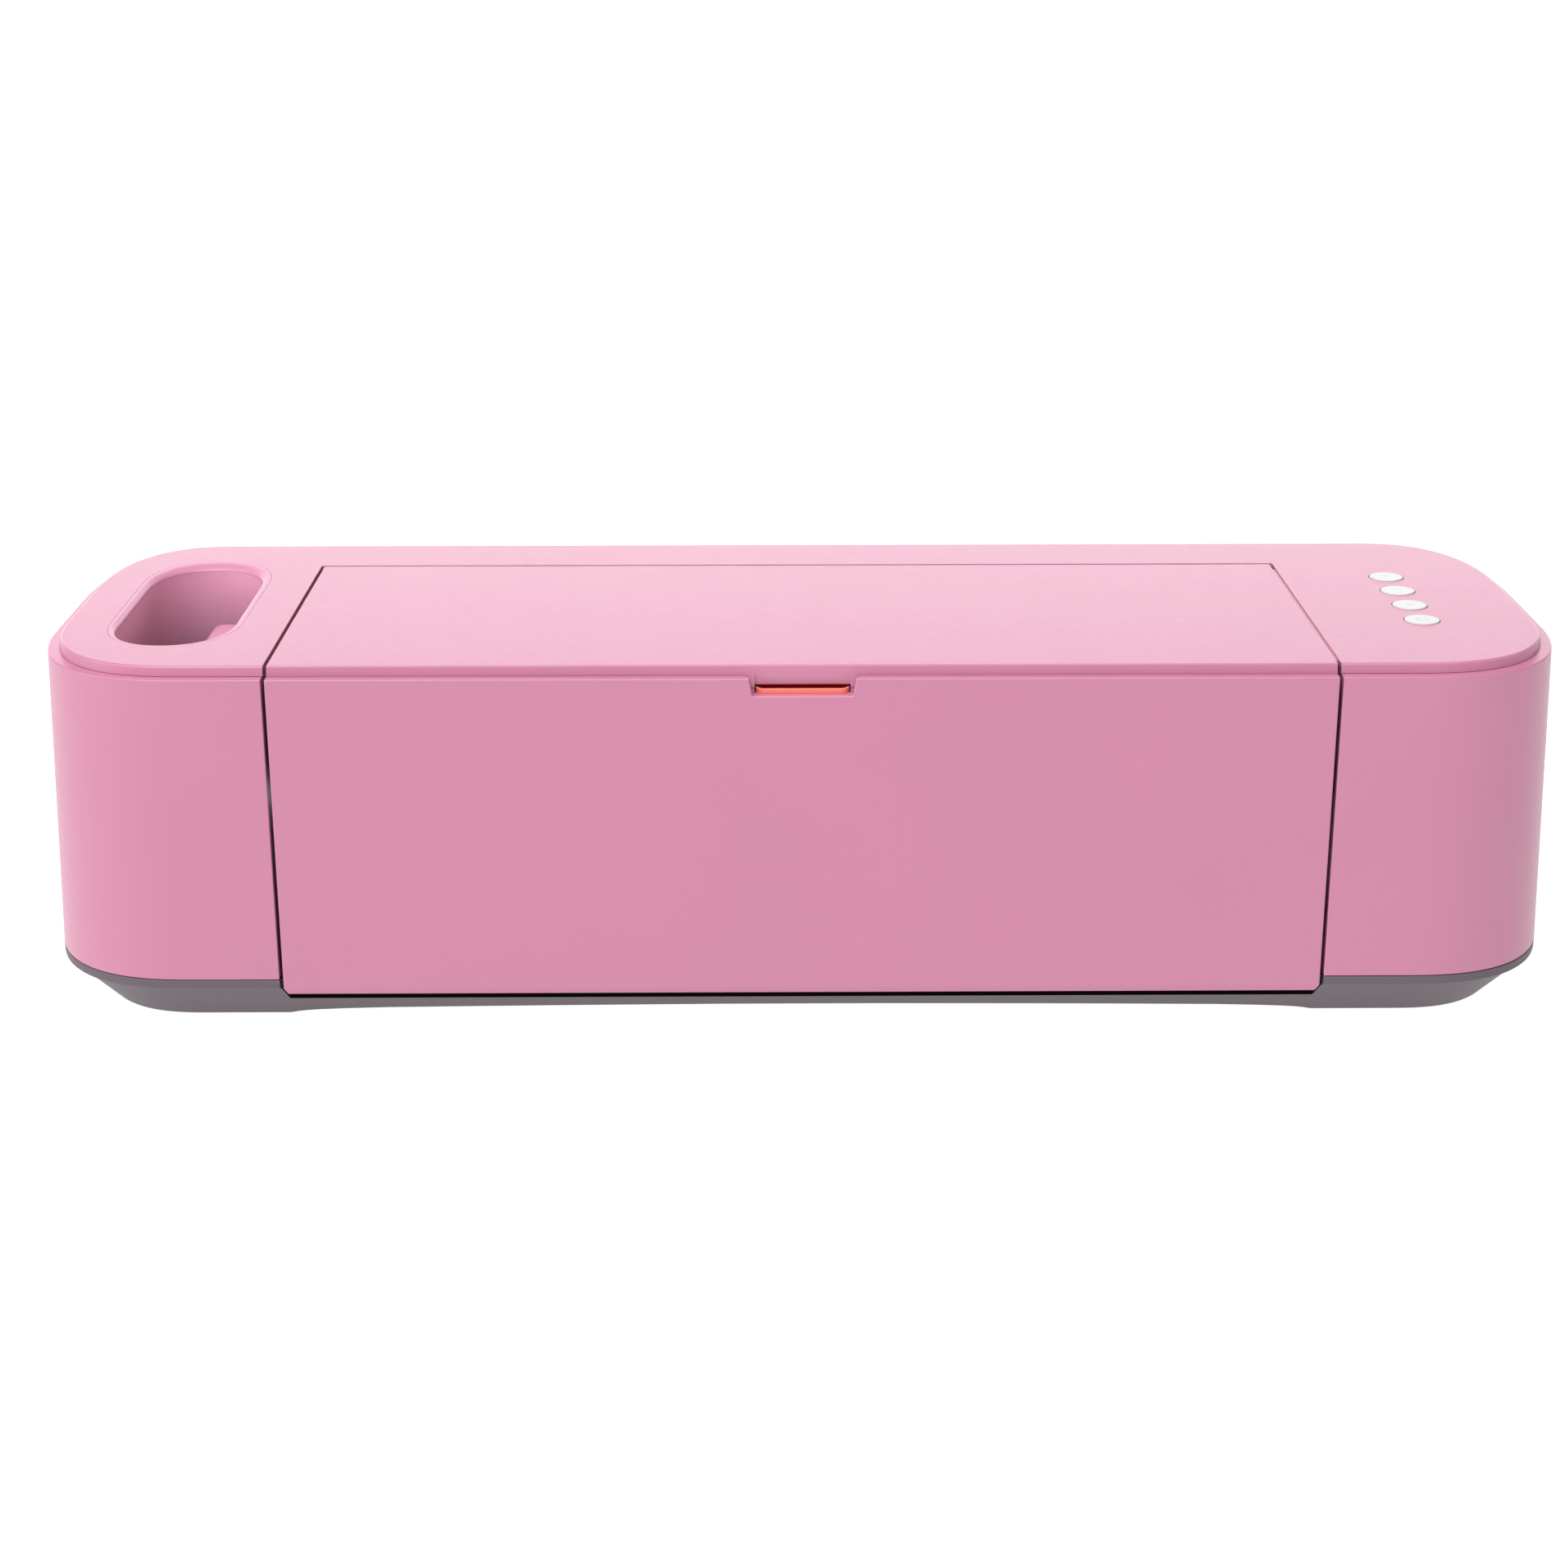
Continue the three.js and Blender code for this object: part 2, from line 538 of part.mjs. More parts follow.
function feedPulley() {
  const { x0, x1, bigRadius } = FEED_DRIVE;
  const { y, z, journal } = ROLLER;
  return union(
    bar('x', x0 + 1.2 + GAP, x1, y, z, bigRadius - 1.4, 32),
    bar('x', x0 + 1.2 + GAP, x0 + 2, y, z, bigRadius, 32),
    bar('x', x1 - 0.6, x1, y, z, bigRadius, 32),
    bar('x', x0 + 1.2 + GAP, x1 + 3, y, z, journal + 2));
}

function feedMotorPulley() {
  const { x0, smallRadius, y, z } = FEED_DRIVE;
  return bar('x', x0 + 1.5, FEED_DRIVE.x1, y, z, smallRadius - 1.4)
    .add(bar('x', x0 + 1.5, x0 + 2, y, z, smallRadius))
    .add(bar('x', FEED_DRIVE.x1 - 0.6, FEED_DRIVE.x1, y, z, smallRadius))
    .add(bar('x', FEED_DRIVE.x1 - 1, FEED_DRIVE.x1 + 3, y, z, 2.5));
}

// The outline of a band that wraps two circles, as [u, v] points.
function wrapOutline(a, b, radiusA, radiusB) {
  const heading = Math.atan2(b[1] - a[1], b[0] - a[0]);
  const spread = Math.acos((radiusA - radiusB) / Math.hypot(b[0] - a[0], b[1] - a[1]));
  const points = [];
  const steps = 14;
  for (let i = 0; i <= steps; i += 1) {
    const angle = heading - spread + 2 * spread * i / steps;
    points.push([b[0] + radiusB * Math.cos(angle), b[1] + radiusB * Math.sin(angle)]);
  }
  for (let i = 0; i <= steps; i += 1) {
    const angle = heading + spread + (2 * Math.PI - 2 * spread) * i / steps;
    points.push([a[0] + radiusA * Math.cos(angle), a[1] + radiusA * Math.sin(angle)]);
  }
  return points;
}

function feedBelt() {
  const a = [ROLLER.y, ROLLER.z];
  const b = [FEED_DRIVE.y, FEED_DRIVE.z];
  const inner = [FEED_DRIVE.bigRadius - 1.4 + BELT.gap, FEED_DRIVE.smallRadius - 1.4 + BELT.gap];
  const outer = inner.map((radius) => radius + BELT.thickness);
  const x0 = FEED_DRIVE.x0 + 2.4;
  const x1 = FEED_DRIVE.x1 - 1;
  return alongX(wrapOutline(a, b, ...outer), x0, x1)
    .subtract(alongX(wrapOutline(a, b, ...inner), x0 - 1, x1 + 1));
}

function motor(u, v, start, axis) {
  const block = (near, far, half) => (axis === 'x'
    ? box(near, far, u - half, u + half, v - half, v + half)
    : box(u - half, u + half, near, far, v - half, v + half));
  return union(
    block(start, start + 7, MOTOR.half),
    block(start + 6, start + MOTOR.length - 6, MOTOR.half - 1.2),
    block(start + MOTOR.length - 7, start + MOTOR.length, MOTOR.half));
}

function pinchBar() {
  const { y0, y1, z0, z1 } = PINCH_BAR;
  let frame = box(-RAIL.half, RAIL.half, y0, y1, z0, z1);
  for (const side of [-1, 1]) {
    for (const offset of [-PINCH.half - 3, PINCH.half + 1]) {
      const x = side * PINCH.x + offset;
      frame = frame.add(box(x, x + 2, y0 + 1, y1 - 1, PINCH.z - 4.5, z0 + 1));
      frame = frame.subtract(bar('x', x - 1, x + 3, ROLLER.y, PINCH.z, PINCH.axle + GAP, 16));
    }
  }
  return frame;
}

function pinchRoller(side) {
  const x = side * PINCH.x;
  const reach = PINCH.half + 3.5;
  return bar('x', x - PINCH.half, x + PINCH.half, ROLLER.y, PINCH.z, PINCH.radius)
    .add(bar('x', x - reach, x + reach, ROLLER.y, PINCH.z, PINCH.axle, 16));
}

function carriageRail() {
  const { y0, y1, z0, z1, half } = RAIL;
  return alongX([
    [y0, z0], [y1, z0], [y1, z0 + 5], [y0 + 6, z0 + 5], [y0 + 6, z1 - 5],
    [y1, z1 - 5], [y1, z1], [y0, z1], [y0, z1 - 6], [y0 + 2, z1 - 8], [y0 + 2, z0 + 8], [y0, z0 + 6],
  ], -half, half);
}

function guideRod(z) {
  return bar('x', -ROD.half, ROD.half, ROD.y, z, ROD.radius);
}

// ---------- carriage ----------
function carriageFrame() {
  const { x, half, y0, y1, z0, z1 } = CARRIAGE;
  const top = RAIL.z1 + 0.8;
  const beltTop = X_DRIVE.z + X_DRIVE.pulley + BELT.gap + BELT.thickness;
  let frame = box(x - half, x + half, y0, y1, z0, z1);
  frame = frame.add(box(x - 8, x + 8, y1 - 1, 54.5, top, top + 5));
  frame = frame.add(box(x - 8, x + 8, 45.2, 54.5, 84, top + 1));
  frame = frame.subtract(box(
    x - 9, x + 9, X_DRIVE.y0 - 1, X_DRIVE.y1 + 1, beltTop - BELT.thickness - GAP, beltTop + GAP));
  for (const z of [ROD.upper, ROD.lower]) {
    frame = frame.subtract(bar('x', x - half - 1, x + half + 1, ROD.y, z, ROD.radius + GAP));
  }
  // relief behind the sliders, between the rods
  return frame.subtract(box(x - half + 6, x + half - 6, y0 - 1, y0 + 3, 74, 90));
}

function toolSlider(x) {
  const { half, y0, y1, z0, z1 } = SLIDER;
  let slider = box(x - half, x + half, y0, y1, z0, z1)
    .subtract(bar('z', z0 - 1, z1 + 1, x, TOOL.y, TOOL.boreRadius));
  for (const side of [-1, 1]) {
    const ends = [x + side * (LEVER.half + GAP), x + side * (LEVER.half + 2)].sort((a, b) => a - b);
    slider = slider
      .add(box(ends[0], ends[1], LEVER.y - 2.2, y0 + 1, LEVER.z - 2.2, LEVER.z + 2.2))
      .subtract(bar('x', ends[0] - 1, ends[1] + 1, LEVER.y, LEVER.z, LEVER.pin + GAP, 12));
  }
  return slider;
}

function clampLever(x) {
  const { y, z, half, thickness, pin, top } = LEVER;
  const front = y - thickness / 2;
  return union(
    box(x - half, x + half, front, front + thickness, z, top),
    bar('x', x - half, x + half, y, z, thickness / 2, 16),
    bar('x', x - half - 2, x + half + 2, y, z, pin, 12),
    box(x - 7, x + 7, front - 4, front + 1, top - 4, top));
}

function bladeHousing(x) {
  const r = TOOL.radius;
  const top = SLIDER.z1 + GAP;
  return turned(x, TOOL.y, [
    [0, 34.8], [0.5, 35], [1.2, 38], [3.6, 40], [5, 43], [5, 58], [r, 60], [r, top], [r + 2, top],
    [r + 2, top + 2.5], [r - 1, top + 3.5], [r - 1, top + 9], [r - 2, top + 10], [0, top + 10],
  ]);
}

function penAdapter(x) {
  const r = TOOL.radius;
  const top = SLIDER.z1 + GAP;
  return turned(x, TOOL.y, [
    [0, 66], [4.5, 66], [4.5, 52], [5.5, 52], [r, 60], [r, top], [r + 2, top],
    [r + 2, top + 3], [5.4, top + 3], [4.4, top + 2], [4.4, 70], [0, 70],
  ]);
}

function drivePulley(x, towards) {
  const { z, pulley, y0, y1 } = X_DRIVE;
  return union(
    bar('y', y0 - 1, y1 + 1, x, z, pulley),
    bar('y', y0 - 2, y0 - 1, x, z, pulley + 2),
    bar('y', y1 + 0.6, y1 + 1.4, x, z, pulley + 2),
    bar('y', y1, towards, x, z, 2.5, 16));
}

function carriageBelt() {
  const { x, z, pulley, y0, y1 } = X_DRIVE;
  const inner = pulley + BELT.gap;
  const outer = inner + BELT.thickness;
  return alongY(wrapOutline([-x, z], [x, z], outer, outer), y0, y1)
    .subtract(alongY(wrapOutline([-x, z], [x, z], inner, inner), y0 - 1, y1 + 1));
}

function idlerBracket() {
  return box(-PLATE.inner + GAP, -X_DRIVE.x + 8, 56, 59, X_DRIVE.z - 12, X_DRIVE.z + 12);
}

// ---------- electronics ----------
function mainBoard() {
  const { half, y, thickness, z0, z1 } = MAIN_BOARD;
  let board = box(-half, half, y, y + thickness, z0, z1);
  for (const [x, z, halfX, halfZ, height] of CHIPS) {
    board = board.add(box(x - halfX, x + halfX, y - height, y + 0.5, z - halfZ, z + halfZ));
  }
  return board;
}

function socket({ x, z, half, halfZ }, hole) {
  const front = MAIN_BOARD.y + MAIN_BOARD.thickness + GAP;
  return box(x - half, x + half, front, HALF_DEPTH, z - halfZ, z + halfZ).subtract(hole);
}

function powerJack() {
  return socket(JACK, bar('y', HALF_DEPTH - SOCKET_DEPTH, HALF_DEPTH + 1, JACK.x, JACK.z, JACK.bore));
}

function dataPort() {
  const { x, z, mouth, mouthZ } = PORT;
  return socket(PORT, box(
    x - mouth, x + mouth, HALF_DEPTH - SOCKET_DEPTH, HALF_DEPTH + 1, z - mouthZ, z + mouthZ));
}

// ---------- assembly ----------
const cutter = new THREE.Group();

function place(name, solid, finish) {
  const mesh = new THREE.Mesh(geometryOf(solid), new THREE.MeshStandardMaterial(FINISHES[finish]));
  mesh.name = name;
  cutter.add(mesh);
}

const bladeX = CARRIAGE.x - TOOL.offset;
const penX = CARRIAGE.x + TOOL.offset;
const ring = bodyRing();
const corners = ['front_left', 'front_right', 'rear_left', 'rear_right'];

place('base_tray', baseTray(), 'grey');
corners.forEach((corner, i) => place(`foot_pad_${corner}`, footPad(padPlaces()[i]), 'rubber'));
corners.forEach((corner, i) => place(`case_screw_${corner}`, caseScrew(screwPlaces()[i]), 'steel'));
place('left_shell', endShell(ring, -1), 'pink');
place('right_shell', endShell(ring, 1), 'pink');
place('rear_panel', rearPanel(ring), 'pink');
place('top_deck', topDeck(), 'pink');
place('tool_cup', toolCup(), 'pink');
for (let i = 0; i < BUTTON.count; i += 1) {
  place(`button_${i + 1}`, button(i), 'white');
}
place('button_board', buttonBoard(), 'board');
place('lid', lid(), 'pink');
place('lid_liner', lidLiner(), 'pinkInner');
place('front_door', frontDoor(), 'pink');
place('door_liner', doorLiner(), 'pinkInner');
place('finger_insert', fingerInsert(), 'orange');
mirroredX(lidPin).forEach((pin, i) => place(`lid_pin_${['left', 'right'][i]}`, pin, 'steel'));
mirroredX(doorPin).forEach((pin, i) => place(`door_pin_${['left', 'right'][i]}`, pin, 'steel'));
mirroredX(sidePlate).forEach((plate, i) => place(`${['left', 'right'][i]}_side_plate`, plate, 'charcoal'));
place('platen', platen(), 'charcoal');
mirroredX(matGuide).forEach((guide, i) => place(`${['left', 'right'][i]}_mat_guide`, guide, 'white'));
place('drive_roller', driveRoller(), 'steel');
place('feed_pulley', feedPulley(), 'aluminium');
place('feed_motor_pulley', feedMotorPulley(), 'brass');
place('feed_belt', feedBelt(), 'rubber');
place('feed_motor', motor(FEED_DRIVE.y, FEED_DRIVE.z, FEED_DRIVE.x1 + 3 + GAP, 'x'), 'charcoal');
place('pinch_bar', pinchBar(), 'aluminium');
mirroredX(pinchRoller).forEach((roller, i) => place(`${['left', 'right'][i]}_pinch_roller`, roller, 'rubber'));
place('carriage_rail', carriageRail(), 'aluminium');
place('upper_guide_rod', guideRod(ROD.upper), 'steel');
place('lower_guide_rod', guideRod(ROD.lower), 'steel');
place('carriage_frame', carriageFrame(), 'charcoal');
place('blade_slider', toolSlider(bladeX), 'white');
place('pen_slider', toolSlider(penX), 'white');
place('blade_clamp_lever', clampLever(bladeX), 'pink');
place('pen_clamp_lever', clampLever(penX), 'pink');
place('blade_housing', bladeHousing(bladeX), 'aluminium');
place('pen_adapter', penAdapter(penX), 'charcoal');
place('carriage_motor', motor(X_DRIVE.x, X_DRIVE.z, 56, 'y'), 'charcoal');
place('motor_pulley', drivePulley(X_DRIVE.x, 56 - GAP), 'brass');
place('idler_pulley', drivePulley(-X_DRIVE.x, 56 - GAP), 'aluminium');
place('idler_bracket', idlerBracket(), 'aluminium');
place('carriage_belt', carriageBelt(), 'rubber');
place('main_board', mainBoard(), 'board');
place('power_jack', powerJack(), 'charcoal');
place('data_port', dataPort(), 'steel');

export default cutter;
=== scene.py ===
"""Looks of the desktop vinyl cutter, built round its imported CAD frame."""

import math

import bmesh
import bpy
from mathutils import Matrix, Vector


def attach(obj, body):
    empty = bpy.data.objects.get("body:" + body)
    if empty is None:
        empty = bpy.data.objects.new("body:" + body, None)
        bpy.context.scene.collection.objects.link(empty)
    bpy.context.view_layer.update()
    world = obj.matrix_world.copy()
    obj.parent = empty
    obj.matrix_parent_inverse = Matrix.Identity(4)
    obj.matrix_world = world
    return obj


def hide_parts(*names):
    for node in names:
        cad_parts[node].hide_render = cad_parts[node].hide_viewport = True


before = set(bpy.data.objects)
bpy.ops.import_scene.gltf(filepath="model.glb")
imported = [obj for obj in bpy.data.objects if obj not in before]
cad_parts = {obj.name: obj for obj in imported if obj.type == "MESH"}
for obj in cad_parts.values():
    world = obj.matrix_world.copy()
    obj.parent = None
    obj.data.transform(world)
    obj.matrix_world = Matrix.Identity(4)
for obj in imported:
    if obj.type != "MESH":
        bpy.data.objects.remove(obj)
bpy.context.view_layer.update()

# ---------- dimensions, in millimetres, in the frame's axes ----------
MM = 0.001
GAP = 0.3
WALL = 2.5
HALF_DEPTH = 95.0
HALF_WIDTH_TOP = 288.8
HALF_WIDTH_BOTTOM = 292.6
FRONT_CORNER = dict(rx=61.5, ry=70.2, power=2.46)
BACK_CORNER = dict(rx=49.2, ry=79.3, power=2.52)
CORNER_STEPS = 26

DECK_Z = 144.5
LEDGE_Z = 140.65
DECK_INSET = 4.15
STEP_LEAN = 0.8
SHELL_Z = 21.9
LEDGE_DEPTH = 9.15
BASE_TOP = 21.6
BASE_BAND = 17.6
BASE_SLOPE = 2.2
BASE_BOTTOM = 1.0
BASE_LOW = 16.5
BASE_FLOOR = 8.5
CHIN = dict(half=208, back=-81.5)
RECESS = dict(floor=10.7, floor_half=196.3, top=17.8, back=-84)
JAMB_X = 198.45
DOOR_HALF = 197.1
DOOR_BOTTOM = 15.6
DOOR_CREASE = 18.2
DOOR_CHAMFER = 1.7
DOOR_HINGE = (-91.6, 20.0)
DOOR_PIN_HOLE = 1.8
NOTCH_TOP = 19.7
NOTCH_BOTTOM = 18.5
NOTCH_FLOOR = 133.9
SHELF_HALF = 19.4
SHELF_BACK = -80.5
SHELF_Z = 128.5
INSERT_HALF = 17.4
INSERT_FRONT = -92.1
INSERT_BACK = -85.5
INSERT_TOP = 135.9
INSERT_BOTTOM = 131.5
INSERT_CORNER = 3.5
LID_HALF = 196.8
LID_BACK = 54.8
LID_LIP = 1.0
OPENING_HALF = 198.2
OPENING_BACK = 56.1
LID_HINGE = (51.9, 141.9)
LID_PIN_HOLE = 1.3
TONGUE_Z = 136.9
GRIP_HALF = 17.7
SKIRT_Z = 127.0
CUP_X = -241.2
CUP_HALF_X = 25.7
CUP_HALF_Y = 63.6
CUP_RY = 34.0
CUP_POWER = 2.2
CUP_LIP = 3.2
CUP_LIP_FLAT = 1.2
CUP_DROP = 2.2
CUP_SHIFT = 3.2
CUP_TRIM = 1.8
POD = dict(x0=-238.0, x1=-205.0, y0=-62.0, y1=21.5, top=130.0)
CUP_FLOOR = 68.5
CUP_BOTTOM = 66.5
BUTTON_X = 241.0
BUTTON_Y = -31.95
BUTTON_PITCH = 21.63
BUTTON_RADIUS = 6.73
BUTTON_TOP = 144.9
BUTTON_FLANGE = 1.07
REAR_SLOT = dict(half=178, low=26.5, high=38)
SOCKETS = dict(jack=(67, 7.3), port=(36, 6.3))
SOCKET_Z = 61.5
SOCKET_HALF_Z = 5.8

QUARTER = math.pi / 2
EDGE_STEPS = 4


# ---------- solids ----------
class Solid:
    """A closed mesh in millimetres that can be joined to others or cut by them."""

    def __init__(self, bm):
        self.bm = bm

    def __add__(self, other):
        return combine(self, other, "UNION")

    def __sub__(self, other):
        return combine(self, other, "DIFFERENCE")


def linked(solid):
    mesh = bpy.data.meshes.new("work")
    solid.bm.to_mesh(mesh)
    obj = bpy.data.objects.new("work", mesh)
    bpy.context.scene.collection.objects.link(obj)
    return obj


def combine(a, b, operation):
    first, second = linked(a), linked(b)
    cut = first.modifiers.new("combine", "BOOLEAN")
    cut.operation = operation
    cut.solver = "MANIFOLD"
    cut.object = second
    depsgraph = bpy.context.evaluated_depsgraph_get()
    result = bmesh.new()
    result.from_object(first, depsgraph)
    for obj in (first, second):
        mesh = obj.data
        bpy.data.objects.remove(obj)
        bpy.data.meshes.remove(mesh)
    bmesh.ops.remove_doubles(result, verts=result.verts, dist=1e-4)
    bmesh.ops.dissolve_degenerate(result, dist=1e-4, edges=result.edges)
    return Solid(result)


def skin(rings):
    """A closed solid through rings of equal length, capped at both ends."""
    bm = bmesh.new()
    made = [[bm.verts.new(p) for p in ring] for ring in rings]
    count = len(rings[0])
    for lower, upper in zip(made, made[1:]):
        for i in range(count):
            j = (i + 1) % count
            bm.faces.new((lower[i], lower[j], upper[j], upper[i]))
    bm.faces.new(made[0])
    bm.faces.new(made[-1])
    bmesh.ops.remove_doubles(bm, verts=bm.verts, dist=1e-4)
    bmesh.ops.dissolve_degenerate(bm, dist=1e-4, edges=bm.edges)
    bmesh.ops.recalc_face_normals(bm, faces=bm.faces)
    return Solid(bm)


def rounded_loop(corners, inset=0.0, steps=EDGE_STEPS):
    """The loop through (u, v, radius) corners, moved inwards by inset, with its corners rounded."""
    count = len(corners)
    area = sum(
        corners[i][0] * corners[(i + 1) % count][1] - corners[(i + 1) % count][0] * corners[i][1]
        for i in range(count)
    )
    if area < 0:
        corners = corners[::-1]
    spots = [Vector((u, v)) for u, v, _ in corners]
    ways = [(spots[(i + 1) % count] - spots[i]).normalized() for i in range(count)]
    loop = []
    for i in range(count):
        before, after = ways[i - 1], ways[i]
        turn = math.atan2(before.x * after.y - before.y * after.x, before.dot(after))
        inward = Vector((-before.y - after.y, before.x + after.x))
        inward /= 1 + before.dot(after)
        spot = spots[i] + inward * inset
        radius = corners[i][2]
        if radius <= 0:
            loop.append(spot)
            continue
        radius = max(radius - inset, 1e-3) if turn > 0 else radius + inset
        reach = radius * math.tan(abs(turn) / 2)
        start = spot - before * reach
        side = 1 if turn > 0 else -1
        centre = start + Vector((-before.y, before.x)) * radius * side
        arm = start - centre
        for k in range(steps + 1):
            angle = turn * k / steps
            loop.append(centre + Vector((
                arm.x * math.cos(angle) - arm.y * math.sin(angle),
                arm.x * math.sin(angle) + arm.y * math.cos(angle),
            )))
    return [(p.x, p.y) for p in loop]


def spot_on(axis, along, u, v):
    return {"x": (along, u, v), "y": (u, along, v), "z": (u, v, along)}[axis]


def prism(axis, corners, a, b, round_a=0.0, round_b=0.0, steps=EDGE_STEPS):
    """Corners swept along an axis from a to b, with both ends' edges rounded."""
    levels = []
    for k in range(steps + 1 if round_a else 1):
        t = QUARTER * k / steps if round_a else QUARTER
        levels.append((a + round_a * (1 - math.cos(t)), round_a * (1 - math.sin(t))))
    for k in reversed(range(steps + 1 if round_b else 1)):
        t = QUARTER * k / steps if round_b else QUARTER
        levels.append((b - round_b * (1 - math.cos(t)), round_b * (1 - math.sin(t))))
    return skin([
        [spot_on(axis, along, u, v) for u, v in rounded_loop(corners, inset, steps)]
        for along, inset in levels
    ])


def rect(u0, u1, v0, v1, radius=0.0):
    return [(u0, v0, radius), (u1, v0, radius), (u1, v1, radius), (u0, v1, radius)]


def block(x0, x1, y0, y1, z0, z1, radius=0.4):
    """A box with every edge rounded."""
    return prism("x", rect(y0, y1, z0, z1, radius), min(x0, x1), max(x0, x1), radius, radius)


def side_block(side, x0, x1, *rest, **options):
    return block(side * x0, side * x1, *rest, **options)


def flared(axis, loop_at, a, surface, radius, past=2.0, steps=EDGE_STEPS):
    """A cutter from a to past the surface, which widens there so that the cut edge is rounded.
    loop_at(inset) gives its section; past and a are on the two sides of the surface."""
    way = 1 if surface > a else -1
    levels = [(a, 0.0)]
    for k in range(steps + 1):
        t = QUARTER * k / steps
        levels.append((surface - way * radius * (1 - math.sin(t)), -radius * (1 - math.cos(t))))
    levels.append((surface + way * past, -radius))
    return skin([[spot_on(axis, along, u, v) for u, v in loop_at(inset)] for along, inset in levels])


def circle(u, v, radius, sides=48):
    return lambda inset: [
        (u + (radius - inset) * math.cos(2 * math.pi * k / sides),
         v + (radius - inset) * math.sin(2 * math.pi * k / sides))
        for k in range(sides)
    ]


def bar(axis, a, b, u, v, radius, edge=0.0, sides=48):
    """A round bar with rounded end edges."""
    loop_at = circle(u, v, radius, sides)
    levels = []
    for k in range(EDGE_STEPS + 1 if edge else 1):
        t = QUARTER * k / EDGE_STEPS if edge else QUARTER
        levels.append((edge * (1 - math.cos(t)), edge * (1 - math.sin(t))))
    lo, hi = min(a, b), max(a, b)
    both = [(lo + d, i) for d, i in levels] + [(hi - d, i) for d, i in reversed(levels)]
    return skin([[spot_on(axis, along, p, q) for p, q in loop_at(i)] for along, i in both])


def turned(x, y, profile, sides=64):
    """A turned solid about a vertical axis, from (radius, z) points off the axis."""
    return skin([[(x + p, y + q, z) for p, q in circle(0, 0, r, sides)(0)] for r, z in profile])


# ---------- plan outline of the body ----------
def corner_stations(corner, side, angles):
    centre_x = HALF_WIDTH_TOP - corner["rx"]
    centre_y = side * (HALF_DEPTH - corner["ry"])
    made = []
    for angle in angles:
        u = max(math.cos(angle), 0.0) ** (2 / corner["power"])
        v = max(math.sin(angle), 0.0) ** (2 / corner["power"])
        made.append((centre_x, centre_y, side, corner["rx"], corner["ry"], u, v))
    return made


def station_spot(station, inset):
    centre_x, centre_y, side, rx, ry, u, v = station
    return centre_x + (rx - inset) * u, centre_y + side * (ry - inset) * v


FALLING = [QUARTER * (1 - k / CORNER_STEPS) for k in range(CORNER_STEPS + 1)]
STATIONS = corner_stations(FRONT_CORNER, -1, FALLING) + corner_stations(BACK_CORNER, 1, FALLING[::-1])
FLARE = HALF_WIDTH_BOTTOM / HALF_WIDTH_TOP


def outline(inset, stretch=1.0):
    right = [station_spot(s, inset) for s in STATIONS]
    return [(x * stretch, y) for x, y in right] + [(-x * stretch, y) for x, y in reversed(right)]


def stretch_at(z):
    share = (LEDGE_Z - z) / (LEDGE_Z - SHELL_Z)
    return 1 + max(0.0, min(1.0, share)) * (FLARE - 1)


def stacked(levels):
    """A solid through the body outline at (z, inset, stretch) levels."""
    return skin([[(x, y, z) for x, y in outline(inset, stretch)] for z, inset, stretch in levels])


# ---------- materials ----------
def named(sockets):
    return {s.identifier: s for s in sockets}


def new_material(name, base, roughness, metallic=0.0):
    material = bpy.data.materials.new(name)
    material.use_nodes = True
    shader = material.node_tree.nodes["Principled BSDF"]
    shader.inputs["Base Color"].default_value = (*base, 1)
    shader.inputs["Roughness"].default_value = roughness
    shader.inputs["Metallic"].default_value = metallic
    return material, material.node_tree, shader


def noise(tree, coordinates, scale, detail=2.0, roughness=0.5):
    node = tree.nodes.new("ShaderNodeTexNoise")
    node.inputs["Scale"].default_value = scale
    node.inputs["Detail"].default_value = detail
    node.inputs["Roughness"].default_value = roughness
    tree.links.new(coordinates, node.inputs["Vector"])
    return node.outputs["Fac"]


def ranged(tree, value, low, high, from_low=0.3, from_high=0.7):
    node = tree.nodes.new("ShaderNodeMapRange")
    node.inputs["From Min"].default_value = from_low
    node.inputs["From Max"].default_value = from_high
    node.inputs["To Min"].default_value = low
    node.inputs["To Max"].default_value = high
    tree.links.new(value, node.inputs["Value"])
    return node.outputs["Result"]


def blended(tree, factor, a, b):
    node = tree.nodes.new("ShaderNodeMix")
    node.data_type = "RGBA"
    sockets = named(node.inputs)
    sockets["A_Color"].default_value = (*a, 1)
    sockets["B_Color"].default_value = (*b, 1)
    tree.links.new(factor, sockets["Factor_Float"])
    return node, named(node.outputs)["Result_Color"]


def scaled(colour, factor):
    return tuple(min(1.0, c * factor) for c in colour)


